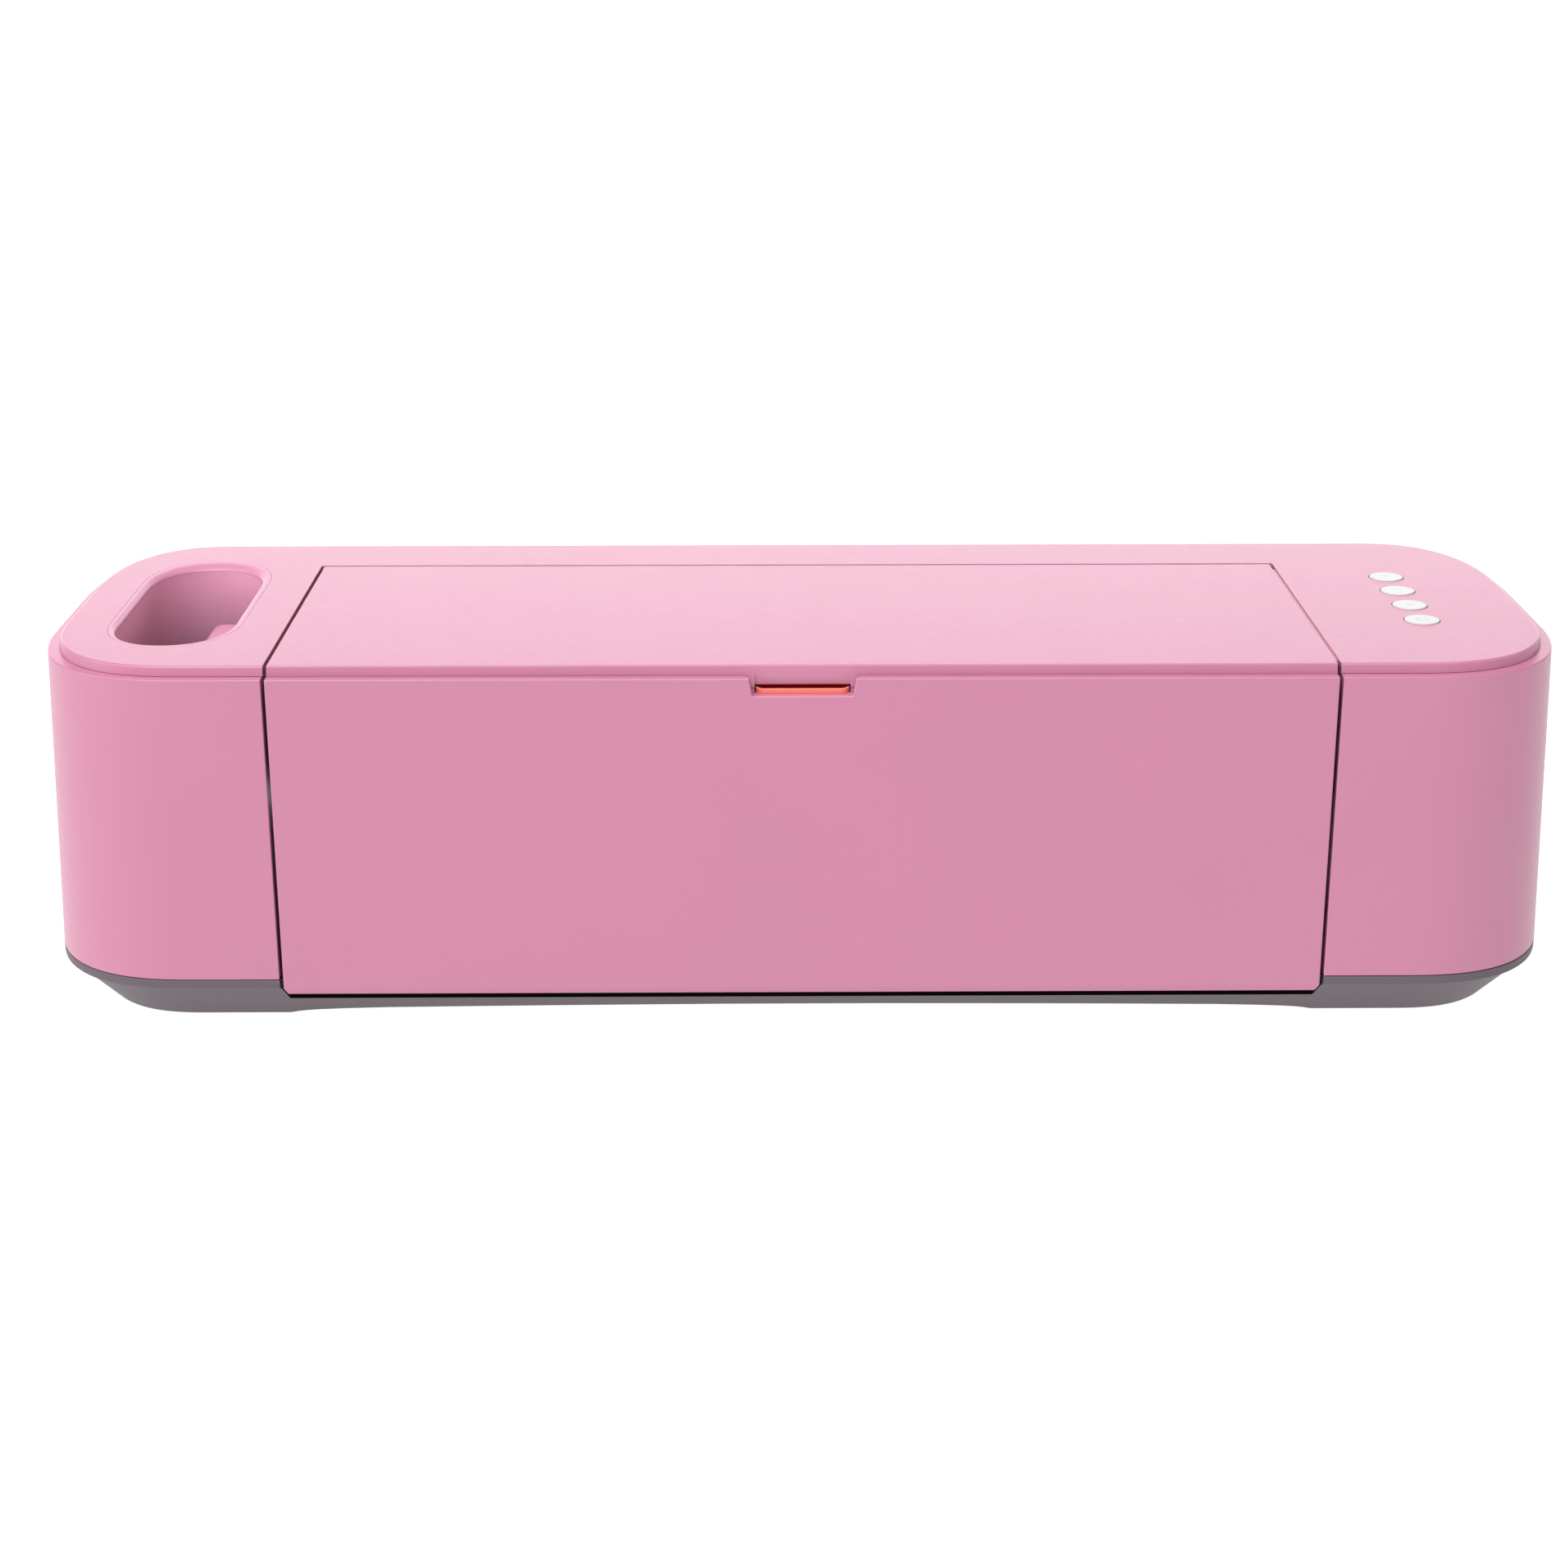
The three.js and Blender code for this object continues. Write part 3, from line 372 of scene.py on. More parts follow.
def plastic(name, base, roughness=0.4, grain=1500.0, depth=0.00002, spread=0.012, wear=0.12, specular=0.5,
            painted_shade=None):
    """Moulded plastic: slight flow variation, fine spark grain, uneven gloss and lighter rubbed edges.
    The last argument, (low, high, share), is painted shade: it darkens the colour to that share from height
    high down to height low."""
    material, tree, shader = new_material(name, base, roughness)
    shader.inputs["Specular IOR Level"].default_value = specular
    place = tree.nodes.new("ShaderNodeTexCoord").outputs["Object"]
    flow = ranged(tree, noise(tree, place, 14.0, 3.0), 0.0, 1.0)
    _, tone = blended(tree, flow, scaled(base, 1 - spread), scaled(base, 1 + spread))
    bevel = tree.nodes.new("ShaderNodeBevel")
    bevel.samples = 4
    bevel.inputs["Radius"].default_value = 0.0009
    geometry = tree.nodes.new("ShaderNodeNewGeometry")
    dot = tree.nodes.new("ShaderNodeVectorMath")
    dot.operation = "DOT_PRODUCT"
    tree.links.new(bevel.outputs["Normal"], dot.inputs[0])
    tree.links.new(geometry.outputs["Normal"], dot.inputs[1])
    edge = ranged(tree, dot.outputs["Value"], wear, 0.0, 0.75, 0.98)
    mix, wear_and_painted_shade = blended(tree, edge, base, scaled(base, 1.5))
    tree.links.new(tone, named(mix.inputs)["A_Color"])
    # Painted shade: the colour darkens towards the bottom of the object, in place of the shade that falls
    # there.
    if painted_shade:
        low, high, share = painted_shade
        axes = tree.nodes.new("ShaderNodeSeparateXYZ")
        tree.links.new(place, axes.inputs["Vector"])
        height = ranged(tree, axes.outputs["Z"], 0.0, 1.0, low * MM, high * MM)
        mix, painted_shade_colour = blended(tree, height, scaled(base, share), base)
        tree.links.new(wear_and_painted_shade, named(mix.inputs)["B_Color"])
        wear_and_painted_shade = painted_shade_colour
    tree.links.new(wear_and_painted_shade, shader.inputs["Base Color"])
    gloss = noise(tree, place, 240.0, 3.0)
    tree.links.new(ranged(tree, gloss, roughness * 0.96, roughness * 1.04), shader.inputs["Roughness"])
    bump = tree.nodes.new("ShaderNodeBump")
    bump.inputs["Strength"].default_value = 0.35
    bump.inputs["Distance"].default_value = depth
    tree.links.new(noise(tree, place, grain, 1.0), bump.inputs["Height"])
    tree.links.new(bump.outputs["Normal"], shader.inputs["Normal"])
    return material


def metal(name, base, roughness=0.3, brushed=(1, 60, 60), depth=0.00001):
    """Turned or drawn metal, with fine brushing across one axis and a few duller patches."""
    material, tree, shader = new_material(name, base, roughness, 1.0)
    place = tree.nodes.new("ShaderNodeTexCoord").outputs["Object"]
    mapping = tree.nodes.new("ShaderNodeMapping")
    mapping.inputs["Scale"].default_value = brushed
    tree.links.new(place, mapping.inputs["Vector"])
    lines = noise(tree, mapping.outputs["Vector"], 40.0, 3.0)
    _, tone = blended(tree, ranged(tree, noise(tree, place, 30.0, 3.0), 0, 1), scaled(base, 0.85), base)
    tree.links.new(tone, shader.inputs["Base Color"])
    tree.links.new(ranged(tree, lines, roughness * 0.75, roughness * 1.35), shader.inputs["Roughness"])
    bump = tree.nodes.new("ShaderNodeBump")
    bump.inputs["Strength"].default_value = 0.3
    bump.inputs["Distance"].default_value = depth
    tree.links.new(lines, bump.inputs["Height"])
    tree.links.new(bump.outputs["Normal"], shader.inputs["Normal"])
    return material


PINK = plastic("pink_plastic", (0.515, 0.193, 0.300), 0.36)
PINK_INNER = plastic("pink_inner_plastic", (0.47, 0.16, 0.25), 0.5)
CUP_PINK = plastic("cup_plastic", (0.60, 0.24, 0.365), 0.4)
# Painted light and shade: the cup's inner wall is a lighter copy of the cup pink, darkened to about a quarter
# towards its bottom.
CUP_WALL_PAINTED_LIGHT_AND_SHADE = plastic("cup_wall_painted_light_and_shade", (0.86, 0.41, 0.57), 0.45, painted_shade=(94, 138, 0.26))
# Painted shade: the pod's pink darkens towards its foot.
CUP_POD_PAINTED_SHADE = plastic("cup_pod_painted_shade", (0.58, 0.23, 0.35), 0.45, painted_shade=(80, 126, 0.3))
GREY = plastic("grey_base_plastic", (0.124, 0.100, 0.114), 0.5, grain=1100.0, depth=0.00004,
               specular=0.25)
# Painted shade: a near-black colour for the recess behind the door's lower edge.
SHADE = plastic("recess_painted_shade", (0.012, 0.009, 0.010), 0.8)
WHITE = plastic("white_plastic", (0.93, 0.925, 0.93), 0.35, spread=0.01)
BUTTON_WHITE = plastic("button_plastic", (0.60, 0.60, 0.605), 0.4, spread=0.01)
ICON = plastic("icon_print", (0.54, 0.54, 0.55), 0.5, spread=0.01)
ORANGE = plastic("orange_plastic", (0.86, 0.20, 0.15), 0.32)
# Painted shade: a dark red copy of the orange for the pull's hollow, which lies in the lid's shadow.
ORANGE_PAINTED_SHADE = plastic("orange_painted_shade", (0.50, 0.004, 0.002), 0.6, spread=0.1)
CHARCOAL = plastic("charcoal_plastic", (0.032, 0.030, 0.034), 0.5, grain=900.0, depth=0.00004)
MOTOR = plastic("motor_case_paint", (0.022, 0.022, 0.024), 0.35)
RUBBER = plastic("rubber", (0.018, 0.018, 0.018), 0.85, grain=700.0, depth=0.00006)
BOARD = plastic("circuit_board_mask", (0.012, 0.12, 0.055), 0.35, grain=500.0)
STEEL = metal("steel_turned", (0.62, 0.62, 0.63), 0.22)
BLACK_STEEL = metal("steel_blackened", (0.03, 0.03, 0.032), 0.45)
ALUMINIUM = metal("aluminium_drawn", (0.70, 0.71, 0.72), 0.34)
BRASS = metal("brass_turned", (0.66, 0.46, 0.18), 0.28)


# ---------- pieces ----------
SHARP = math.radians(32)


def finished(name, solid, materials, body, nodes=(), pick=None):
    """Turns a solid into a piece in metres, with clean shading, that rides on a body."""
    bm = solid.bm
    for edge in bm.edges:
        if len(edge.link_faces) == 2:
            edge.smooth = edge.calc_face_angle(0.0) < SHARP
    for face in bm.faces:
        face.smooth = True
        if pick:
            face.material_index = pick(face)
    bmesh.ops.scale(bm, vec=(MM, MM, MM), verts=bm.verts)
    mesh = bpy.data.meshes.new(name)
    bm.to_mesh(mesh)
    bm.free()
    for material in materials:
        mesh.materials.append(material)
    obj = bpy.data.objects.new(name, mesh)
    bpy.context.scene.collection.objects.link(obj)
    weighted = obj.modifiers.new("face_weighted", "WEIGHTED_NORMAL")
    weighted.keep_sharp = True
    weighted.weight = 80
    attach(obj, body)
    if nodes:
        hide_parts(*nodes)
    return obj


SHELL_PROFILE = [
    (0, SHELL_Z, 0.35), (0, LEDGE_Z, 0.55), (LEDGE_DEPTH, LEDGE_Z, 0.3),
    (LEDGE_DEPTH, LEDGE_Z - WALL, 0.3), (WALL, LEDGE_Z - WALL, 0.3), (WALL, SHELL_Z, 0.3),
]
SEAM_EDGE = 0.45


def end_shell(side):
    def seam(way, k):
        t = QUARTER * k / EDGE_STEPS
        loop = rounded_loop(SHELL_PROFILE, SEAM_EDGE * (1 - math.sin(t)))
        x = JAMB_X + SEAM_EDGE * (1 - math.cos(t))
        return [(side * x, way * (HALF_DEPTH - inset), z) for inset, z in loop]

    rings = [seam(-1, k) for k in range(EDGE_STEPS + 1)]
    loop = rounded_loop(SHELL_PROFILE)
    for station in STATIONS:
        ring = []
        for inset, z in loop:
            x, y = station_spot(station, inset)
            ring.append((side * x * stretch_at(z), y, z))
        rings.append(ring)
    rings += [seam(1, k) for k in reversed(range(EDGE_STEPS + 1))]
    inner, outer = JAMB_X + 0.1, JAMB_X + WALL
    jamb = side_block(side, inner, outer, -93.4, RECESS["back"], SHELL_Z, LEDGE_Z - 1, radius=0.3)
    return skin(rings) + jamb


for side, label in ((-1, "left"), (1, "right")):
    finished(f"{label}_end_shell", end_shell(side), [PINK], "chassis", [f"{label}_shell"])


def rear_panel():
    reach = JAMB_X - GAP
    profile = [(HALF_DEPTH - inset, z, radius) for inset, z, radius in SHELL_PROFILE]
    panel = prism("x", profile, -reach, reach, SEAM_EDGE, SEAM_EDGE)
    inside = HALF_DEPTH - 15
    slot = rect(-REAR_SLOT["half"], REAR_SLOT["half"], REAR_SLOT["low"], REAR_SLOT["high"], 2.0)
    panel -= flared("y", lambda inset: rounded_loop(slot, inset), inside, HALF_DEPTH, 0.6)
    for x, half in SOCKETS.values():
        hole = rect(x - half, x + half, SOCKET_Z - SOCKET_HALF_Z, SOCKET_Z + SOCKET_HALF_Z, 0.8)
        panel -= flared("y", lambda inset: rounded_loop(hole, inset), inside, HALF_DEPTH, 0.3)
    return panel


finished("rear_shell_panel", rear_panel(), [PINK], "chassis", ["rear_panel"])


# ---------- tool cup ----------
def cup_outline(shrink, slide=0.0, steps=18):
    """The cup's outline moved inwards; a slide of 1 is the pocket's, shorter and nearer the front."""
    half_y = CUP_HALF_Y - CUP_TRIM * slide
    points = []
    for sign_x, sign_y, start, end in ((1, -1, 1, 0), (1, 1, 0, 1), (-1, 1, 1, 0), (-1, -1, 0, 1)):
        for k in range(steps + 1):
            angle = QUARTER * (start + (end - start) * k / steps)
            u = max(math.cos(angle), 0.0) ** (2 / CUP_POWER)
            v = max(math.sin(angle), 0.0) ** (2 / CUP_POWER)
            points.append((
                CUP_X + sign_x * (CUP_HALF_X - shrink) * u,
                sign_y * (half_y - CUP_RY + (CUP_RY - shrink) * v) - CUP_SHIFT * slide,
            ))
    return points


def cup_levels(levels):
    return skin([[(x, y, z) for x, y in cup_outline(shrink, *slide)] for shrink, z, *slide in levels])


def tool_cup():
    edge, seam = 0.12, 0.1
    outer = [(1.4, CUP_BOTTOM), (seam, DECK_Z - edge)]
    for k in range(1, EDGE_STEPS + 1):
        t = QUARTER * k / EDGE_STEPS
        outer.append((seam + edge * (1 - math.cos(t)), DECK_Z - edge * (1 - math.sin(t))))
    body = cup_levels(outer)
    fillet = 6.0
    pocket = []
    for k in range(7):
        t = QUARTER * k / 6
        pocket.append((CUP_LIP + 1 + fillet * (1 - math.sin(t)), CUP_FLOOR + fillet * (1 - math.cos(t)), 1))
    start = CUP_LIP_FLAT
    for k in range(10, -1, -1):
        t = QUARTER * k / 10
        s = math.sin(t)
        pocket.append((start + (CUP_LIP - start) * s, DECK_Z - CUP_DROP * (1 - math.cos(t)), s))
    pocket.append((start, DECK_Z + 2, 0))
    cup = body - cup_levels(pocket)
    pod = prism("z", rect(POD["x0"], POD["x1"], POD["y0"], POD["y1"], 5),
                CUP_BOTTOM + 1, POD["top"], 0, 4.5, steps=6)
    keep = cup_levels([(2.2, CUP_BOTTOM + 0.5), (2.2, POD["top"] + 2)])
    inside = combine(pod, keep, "INTERSECT")
    return cup + inside


def cup_material(face):
    """The lip's colour on top, the wall's with painted light and shade below it, and the pod's with painted
    shade.
    """
    x, y, z = face.calc_center_median()
    if x > POD["x0"] - 0.1 and POD["y0"] < y < POD["y1"] + 0.1 and z < POD["top"] + 0.1:
        return 2
    return 1 if z < DECK_Z - CUP_DROP - 0.05 else 0


finished("tool_cup_moulding", tool_cup(), [CUP_PINK, CUP_WALL_PAINTED_LIGHT_AND_SHADE, CUP_POD_PAINTED_SHADE], "chassis",
         ["tool_cup"], pick=cup_material)


# ---------- top deck ----------
def top_deck():
    edge = 0.8
    levels = [(LEDGE_Z + 0.2, DECK_INSET, 1)]
    for k in range(EDGE_STEPS + 1):
        t = QUARTER * k / EDGE_STEPS
        drop = edge * (1 - math.sin(t))
        levels.append((DECK_Z - drop, DECK_INSET + STEP_LEAN + edge * (1 - math.cos(t)) - drop * 0.2, 1))
    deck = stacked(levels)
    deck -= stacked([(LEDGE_Z - 1, DECK_INSET + WALL, 1), (DECK_Z - WALL, DECK_INSET + WALL, 1)])
    under = DECK_Z - WALL + GAP
    outer = OPENING_HALF + WALL
    for side in (-1, 1):
        deck += side_block(side, OPENING_HALF - 1, outer, -83.5, 58.6, SKIRT_Z, under)
        deck += side_block(side, OPENING_HALF - 1, 207, 46, 58, 137, under)
    deck += block(-outer, outer, OPENING_BACK - 1, 58.6, SKIRT_Z, under)
    for y in (BUTTON_Y - 10.5, BUTTON_Y + 3 * BUTTON_PITCH + 10.5):
        deck += bar("z", 135.9, under, BUTTON_X, y, 2.5, 0.3)
    mouth = [(-OPENING_HALF, -120, 0), (OPENING_HALF, -120, 0),
             (OPENING_HALF, OPENING_BACK, 0.8), (-OPENING_HALF, OPENING_BACK, 0.8)]
    deck -= flared("z", lambda inset: rounded_loop(mouth, inset), 120, DECK_Z, 0.2)
    right_gap_strip = block(LID_HALF + 0.15, OPENING_HALF + 1, -83.5, 49, 140.6, 143.75, radius=0.2)
    deck += right_gap_strip
    for side in (-1, 1):
        deck -= bar("x", side * 190, side * 204.3, *LID_HINGE, LID_PIN_HOLE, sides=24)
    deck -= flared("z", cup_outline, LEDGE_Z - 2, DECK_Z, 0.12)
    for k in range(4):
        hole = circle(BUTTON_X, BUTTON_Y + k * BUTTON_PITCH, BUTTON_RADIUS + GAP, 72)
        deck -= flared("z", hole, 138, DECK_Z, 0.25)
    return deck


finished("top_deck_cover", top_deck(), [PINK], "chassis", ["top_deck"])


# ---------- buttons ----------
ICON_LOW = BUTTON_TOP - 0.3


def button_cap(k):
    edge = 0.45
    top = BUTTON_TOP - 0.04
    flange, low, high = BUTTON_RADIUS + BUTTON_FLANGE, 140.8, 141.7
    profile = [(flange, low), (flange, high), (BUTTON_RADIUS, high)]
    for step in range(EDGE_STEPS + 1):
        t = QUARTER * step / EDGE_STEPS
        profile.append((BUTTON_RADIUS - edge * (1 - math.cos(t)), top - edge * (1 - math.sin(t))))
    return turned(BUTTON_X, BUTTON_Y + k * BUTTON_PITCH, profile, 72)


def arc_stroke(x, y, radius, start, end, width, steps=24):
    """A flat curved stroke: rings across an arc, in degrees from +X."""
    inner, outer = radius - width / 2, radius + width / 2
    section = ((inner, ICON_LOW), (outer, ICON_LOW), (outer, BUTTON_TOP), (inner, BUTTON_TOP))
    rings = []
    for k in range(steps + 1):
        a = math.radians(start + (end - start) * k / steps)
        rings.append([(x + r * math.cos(a), y + r * math.sin(a), z) for r, z in section])
    return skin(rings)


def stroke(x0, y0, x1, y1, width):
    way = Vector((x1 - x0, y1 - y0)).normalized() * width / 2
    across = Vector((-way.y, way.x))
    corners = [(x0 + across.x, y0 + across.y, 0), (x0 - across.x, y0 - across.y, 0),
               (x1 - across.x, y1 - across.y, 0), (x1 + across.x, y1 + across.y, 0)]
    return prism("z", corners, ICON_LOW, BUTTON_TOP)


def icon(k):
    """Generic marks, from the front: a power sign, a play sign, a pause sign and an arrow."""
    x, y, w = BUTTON_X, BUTTON_Y + k * BUTTON_PITCH, 0.32
    if k == 0:
        return [arc_stroke(x, y, 2.2, 125, 415, w) + stroke(x, y + 0.6, x, y + 2.9, w)]
    if k == 1:
        return [stroke(x - 1.7, y - 1.6, x + 1.7, y, w) + stroke(x + 1.7, y, x - 1.7, y + 1.6, w)]
    if k == 2:
        return [stroke(x - 1, y - 1.7, x - 1, y + 1.7, w), stroke(x + 1, y - 1.7, x + 1, y + 1.7, w)]
    arrow = stroke(x, y - 2.0, x, y + 2.0, w)
    arrow += stroke(x - 1.3, y + 0.7, x, y + 2.05, w)
    arrow += stroke(x + 1.3, y + 0.7, x, y + 2.05, w)
    return [arrow]


for k in range(4):
    number = k + 1
    finished(f"button_cap_{number}", button_cap(k), [BUTTON_WHITE], f"button_{number}",
             [f"button_{number}"])
    for n, mark in enumerate(icon(k)):
        finished(f"button_icon_{number}_{n + 1}", mark, [ICON], f"button_{number}")


# ---------- lid ----------
def lid():
    front = -HALF_DEPTH + DECK_INSET
    under = DECK_Z - WALL
    panel = prism("x", [
        (front, TONGUE_Z, 0.35), (front + WALL, TONGUE_Z, 0.35), (front + WALL, under, 1.2),
        (LID_BACK, under, 0.3), (LID_BACK, DECK_Z, 0.5), (front + STEP_LEAN, DECK_Z, 0.6),
        (front, LEDGE_Z, 0),
    ], -LID_HALF, LID_HALF, 0.2, 0.2)
    panel += block(-LID_HALF, LID_HALF, front, front + WALL, TONGUE_Z - LID_LIP, TONGUE_Z + 1, radius=0.2)
    outside, grip_top, grip_low = front - 2, DECK_Z - 0.75, TONGUE_Z - 2
    slanted = [(outside, grip_top, 0), (front, grip_top, 0), (front + 1.7, grip_low, 0),
               (outside, grip_low, 0)]
    panel -= prism("x", slanted, -GRIP_HALF, GRIP_HALF)
    below = rect(outside, front + WALL + 1, TONGUE_Z - 3, TONGUE_Z)
    panel -= prism("x", below, -GRIP_HALF, GRIP_HALF)
    flange = LID_HALF - 0.05
    for side in (-1, 1):
        panel += side_block(side, LID_HALF - 2.4, flange, front + 1, 42, 137, under + GAP)
        panel += side_block(side, 188, flange, 48.6, LID_BACK - 0.05, 139, under + GAP)
        panel -= bar("x", side * 187, side * 200, *LID_HINGE, LID_PIN_HOLE, sides=24)
    return panel


finished("lid_panel", lid(), [PINK], "lid", ["lid"])


def lid_liner():
    liner = block(-192, 192, -86.5, 44, 139.2, DECK_Z - WALL - GAP, radius=0.8)
    for y in (-60, -20, 20):
        liner += block(-180, 180, y - 1.2, y + 1.2, 137.6, 139.8, radius=0.6)
    return liner


finished("lid_inner_liner", lid_liner(), [PINK_INNER], "lid", ["lid_liner"])


# ---------- front door ----------
def front_door():
    face = -HALF_DEPTH
    half = DOOR_HALF
    panel = prism("y", [
        (DOOR_CHAMFER - half, DOOR_BOTTOM, 0.5), (half - DOOR_CHAMFER, DOOR_BOTTOM, 0.5),
        (half, DOOR_CREASE, 1.0), (half, LEDGE_Z, 0.5),
        (NOTCH_TOP, LEDGE_Z, 0.35), (NOTCH_BOTTOM, NOTCH_FLOOR, 0.3),
        (-NOTCH_BOTTOM, NOTCH_FLOOR, 0.3), (-NOTCH_TOP, LEDGE_Z, 0.35),
        (-half, LEDGE_Z, 0.5), (-half, DOOR_CREASE, 1.0),
    ], face, face + WALL, 0.6, 0)
    outside, chamfered, crease, low = face - 2, face + 1.2, DOOR_CREASE - 0.05, DOOR_BOTTOM - 5.6
    wedge = [(outside, crease, 0), (face, crease, 0), (chamfered, DOOR_BOTTOM - 0.1, 0), (chamfered, low, 0),
             (outside, low, 0)]
    panel -= prism("x", wedge, -220, 220)
    top = rect(face + 1.5, face + 3.75, LEDGE_Z - WALL, LEDGE_Z, 0.3)
    for side in (-1, 1):
        panel += prism("x", top, *sorted((side * (NOTCH_TOP + 1.2), side * (half - 0.1))), 0.3, 0.3)
        panel += side_block(side, 184, half - 2, face + 2, -87.5, 16.5, 23.5)
    panel += block(-SHELF_HALF, SHELF_HALF, face + 0.9, SHELF_BACK, SHELF_Z, NOTCH_FLOOR - 0.02, radius=0.25)
    for side in (-1, 1):
        panel += side_block(side, GRIP_HALF + 0.05, SHELF_HALF - 0.1, face + 4.1, -86, 132, 135.6, radius=0.2)
    room = 0.15
    x, front, back = INSERT_HALF + room, INSERT_FRONT - room, INSERT_BACK + room
    pocket = [(-x, front, INSERT_CORNER), (x, front, INSERT_CORNER), (x, back, 1), (-x, back, 1)]
    panel -= prism("z", pocket, INSERT_BOTTOM - GAP, 136, steps=8)
    for side in (-1, 1):
        panel -= bar("x", side * 189.5, side * 200, *DOOR_HINGE, DOOR_PIN_HOLE, sides=24)
    return panel


finished("front_door_panel", front_door(), [PINK], "door", ["front_door"])


def door_liner():
    front = -HALF_DEPTH + WALL + GAP
    half, back, bottom, top = 192, -83, 24, 131
    rim, top_rim, deep = 9, 12, 6
    liner = prism("y", rect(-half, half, bottom, top, 4), front, back, 0, 1.5, steps=6)
    inner = rect(rim - half, half - rim, bottom + rim, top - top_rim, 5)
    liner -= flared("y", lambda inset: rounded_loop(inner, inset, 6), back - deep, back, 1.2, steps=6)
    return liner - block(-20, 20, front - 1, back + 1, SHELF_Z - GAP, top + 1)


finished("door_inner_liner", door_liner(), [PINK_INNER], "door", ["door_liner"])


def finger_pull():
    def plan(inset):
        x, front, back = INSERT_HALF - inset, INSERT_FRONT + inset, INSERT_BACK - inset
        corner = INSERT_CORNER - inset
        return [(-x, front, corner), (x, front, corner), (x, back, 1.2), (-x, back, 1.2)]

    wall = 0.8
    pull = prism("z", plan(0), INSERT_BOTTOM, INSERT_TOP, 0, 0.25, steps=8)
    return pull - prism("z", plan(wall), INSERT_BOTTOM + wall, INSERT_TOP + 2, 0.4, 0, steps=8)


def pull_material(face):
    """Painted shade: the dark red on the faces that point into the hollow or lie on its floor."""
    spot, way = face.calc_center_median(), face.normal
    inward = way.x * spot.x + way.y * (spot.y - (INSERT_FRONT + INSERT_BACK) / 2) < -0.2
    return 1 if inward or (way.z > 0.5 and spot.z < INSERT_TOP - 0.5) else 0


finished("finger_pull", finger_pull(), [ORANGE, ORANGE_PAINTED_SHADE], "door", ["finger_insert"],
         pick=pull_material)


# ---------- base ----------
# The underside's arch: half widths and heights from its foot to its crown.
ARCH = [(198, 1.0), (195, 1.9), (191, 2.6), (186, 3.1), (176, 3.7), (160, 4.3), (120, 4.9), (87, 5.3),
        (30, 5.75)]


def base_tray():
    tray = stacked([
        (BASE_BOTTOM, BASE_LOW + 0.5, FLARE), (BASE_BOTTOM + 0.4, BASE_LOW, FLARE),
        (BASE_BAND, BASE_SLOPE, FLARE), (BASE_BAND + 0.3, 0.5, FLARE), (BASE_BAND + 0.8, 0, FLARE),
        (BASE_TOP - 0.25, 0, FLARE), (BASE_TOP, 0.25, FLARE),
    ])
    inner = BASE_SLOPE + WALL
    hollow = stacked([(BASE_FLOOR, BASE_LOW - 4, FLARE), (BASE_BAND, inner, FLARE),
                      (BASE_TOP + 1.4, inner, FLARE)])
    outside = HALF_DEPTH + 5
    hollow -= block(-CHIN["half"], CHIN["half"], -outside, CHIN["back"], 0, 30, radius=0)
    tray -= hollow
    half, floor, top = RECESS["floor_half"], RECESS["floor"], RECESS["top"]
    recess = [(-JAMB_X, 30, 0), (-JAMB_X, top, 0.6), (-half, floor, 0.6), (half, floor, 0.6),
              (JAMB_X, top, 0.6), (JAMB_X, 30, 0)]
    tray -= prism("y", recess, -outside, RECESS["back"])
    foot = ARCH[0][0]
    arch = [(-foot, -1)] + [(-x, z) for x, z in ARCH] + [(x, z) for x, z in reversed(ARCH)] + [(foot, -1)]
    tray -= skin([[(x, y, z) for x, z in arch] for y in (-outside, outside)])
    for x, y in PADS:
        tray -= bar("z", -1, 3.3, x, y, 10.3)
    for x, y in SCREWS:
        tray -= bar("z", -1, 4.5, x, y, 3.5, sides=32)
        tray -= bar("z", 0, 12, x, y, 1.8, sides=24)
    for side in (-1, 1):
        tray -= bar("x", side * 180, side * 206.3, *DOOR_HINGE, DOOR_PIN_HOLE, sides=24)
    return tray


def tray_material(face):
    """Painted shade: the near-black colour in the recess behind the door's lower edge."""
    x, y, z = face.calc_center_median()
    back, floor = RECESS["back"], RECESS["floor"]
    shaded = abs(x) < JAMB_X + 0.1 and back - 4.9 < y < back + 0.1 and floor - 0.1 < z < BASE_TOP - 0.2
    return 1 if shaded else 0


PADS = [(sx * 214, sy * 62) for sx in (-1, 1) for sy in (-1, 1)]
SCREWS = [(sx * 262, sy * 48) for sx in (-1, 1) for sy in (-1, 1)]
finished("base_tray_moulding", base_tray(), [GREY, SHADE], "chassis", ["base_tray"],
         pick=tray_material)


# ---------- main board parts: (x, z, half width, half height) on the board's front face ----------
BOARD_Y = 84.0
CHIPS = ((-60, 95, 14, 14, 2), (-15, 90, 8, 10, 2), (40, 100, 12, 8, 9), (75, 100, 8, 8, 10))
SMALL_CHIPS = ((-85, 112, 4, 3), (-85, 100, 4, 3), (-36, 112, 3, 5), (-34, 76, 5, 3), (10, 112, 6, 4),
               (12, 78, 3, 3), (62, 76, 6, 3), (88, 76, 3, 4))
CANS = ((-82, 70, 4.0), (-70, 70, 4.0), (-8, 66, 3.0), (28, 72, 5.0), (40, 72, 5.0), (90, 116, 4.0))
for n, (x, z, half_x, half_z, height) in enumerate(CHIPS):
    wide, tall = half_x + 0.1, half_z + 0.1
    cover = block(x - wide, x + wide, BOARD_Y - height - 0.1, BOARD_Y + 0.2, z - tall, z + tall, radius=0.6)
    finished(f"board_chip_{n + 1}", cover, [WHITE if height > 5 else CHARCOAL], "chassis")
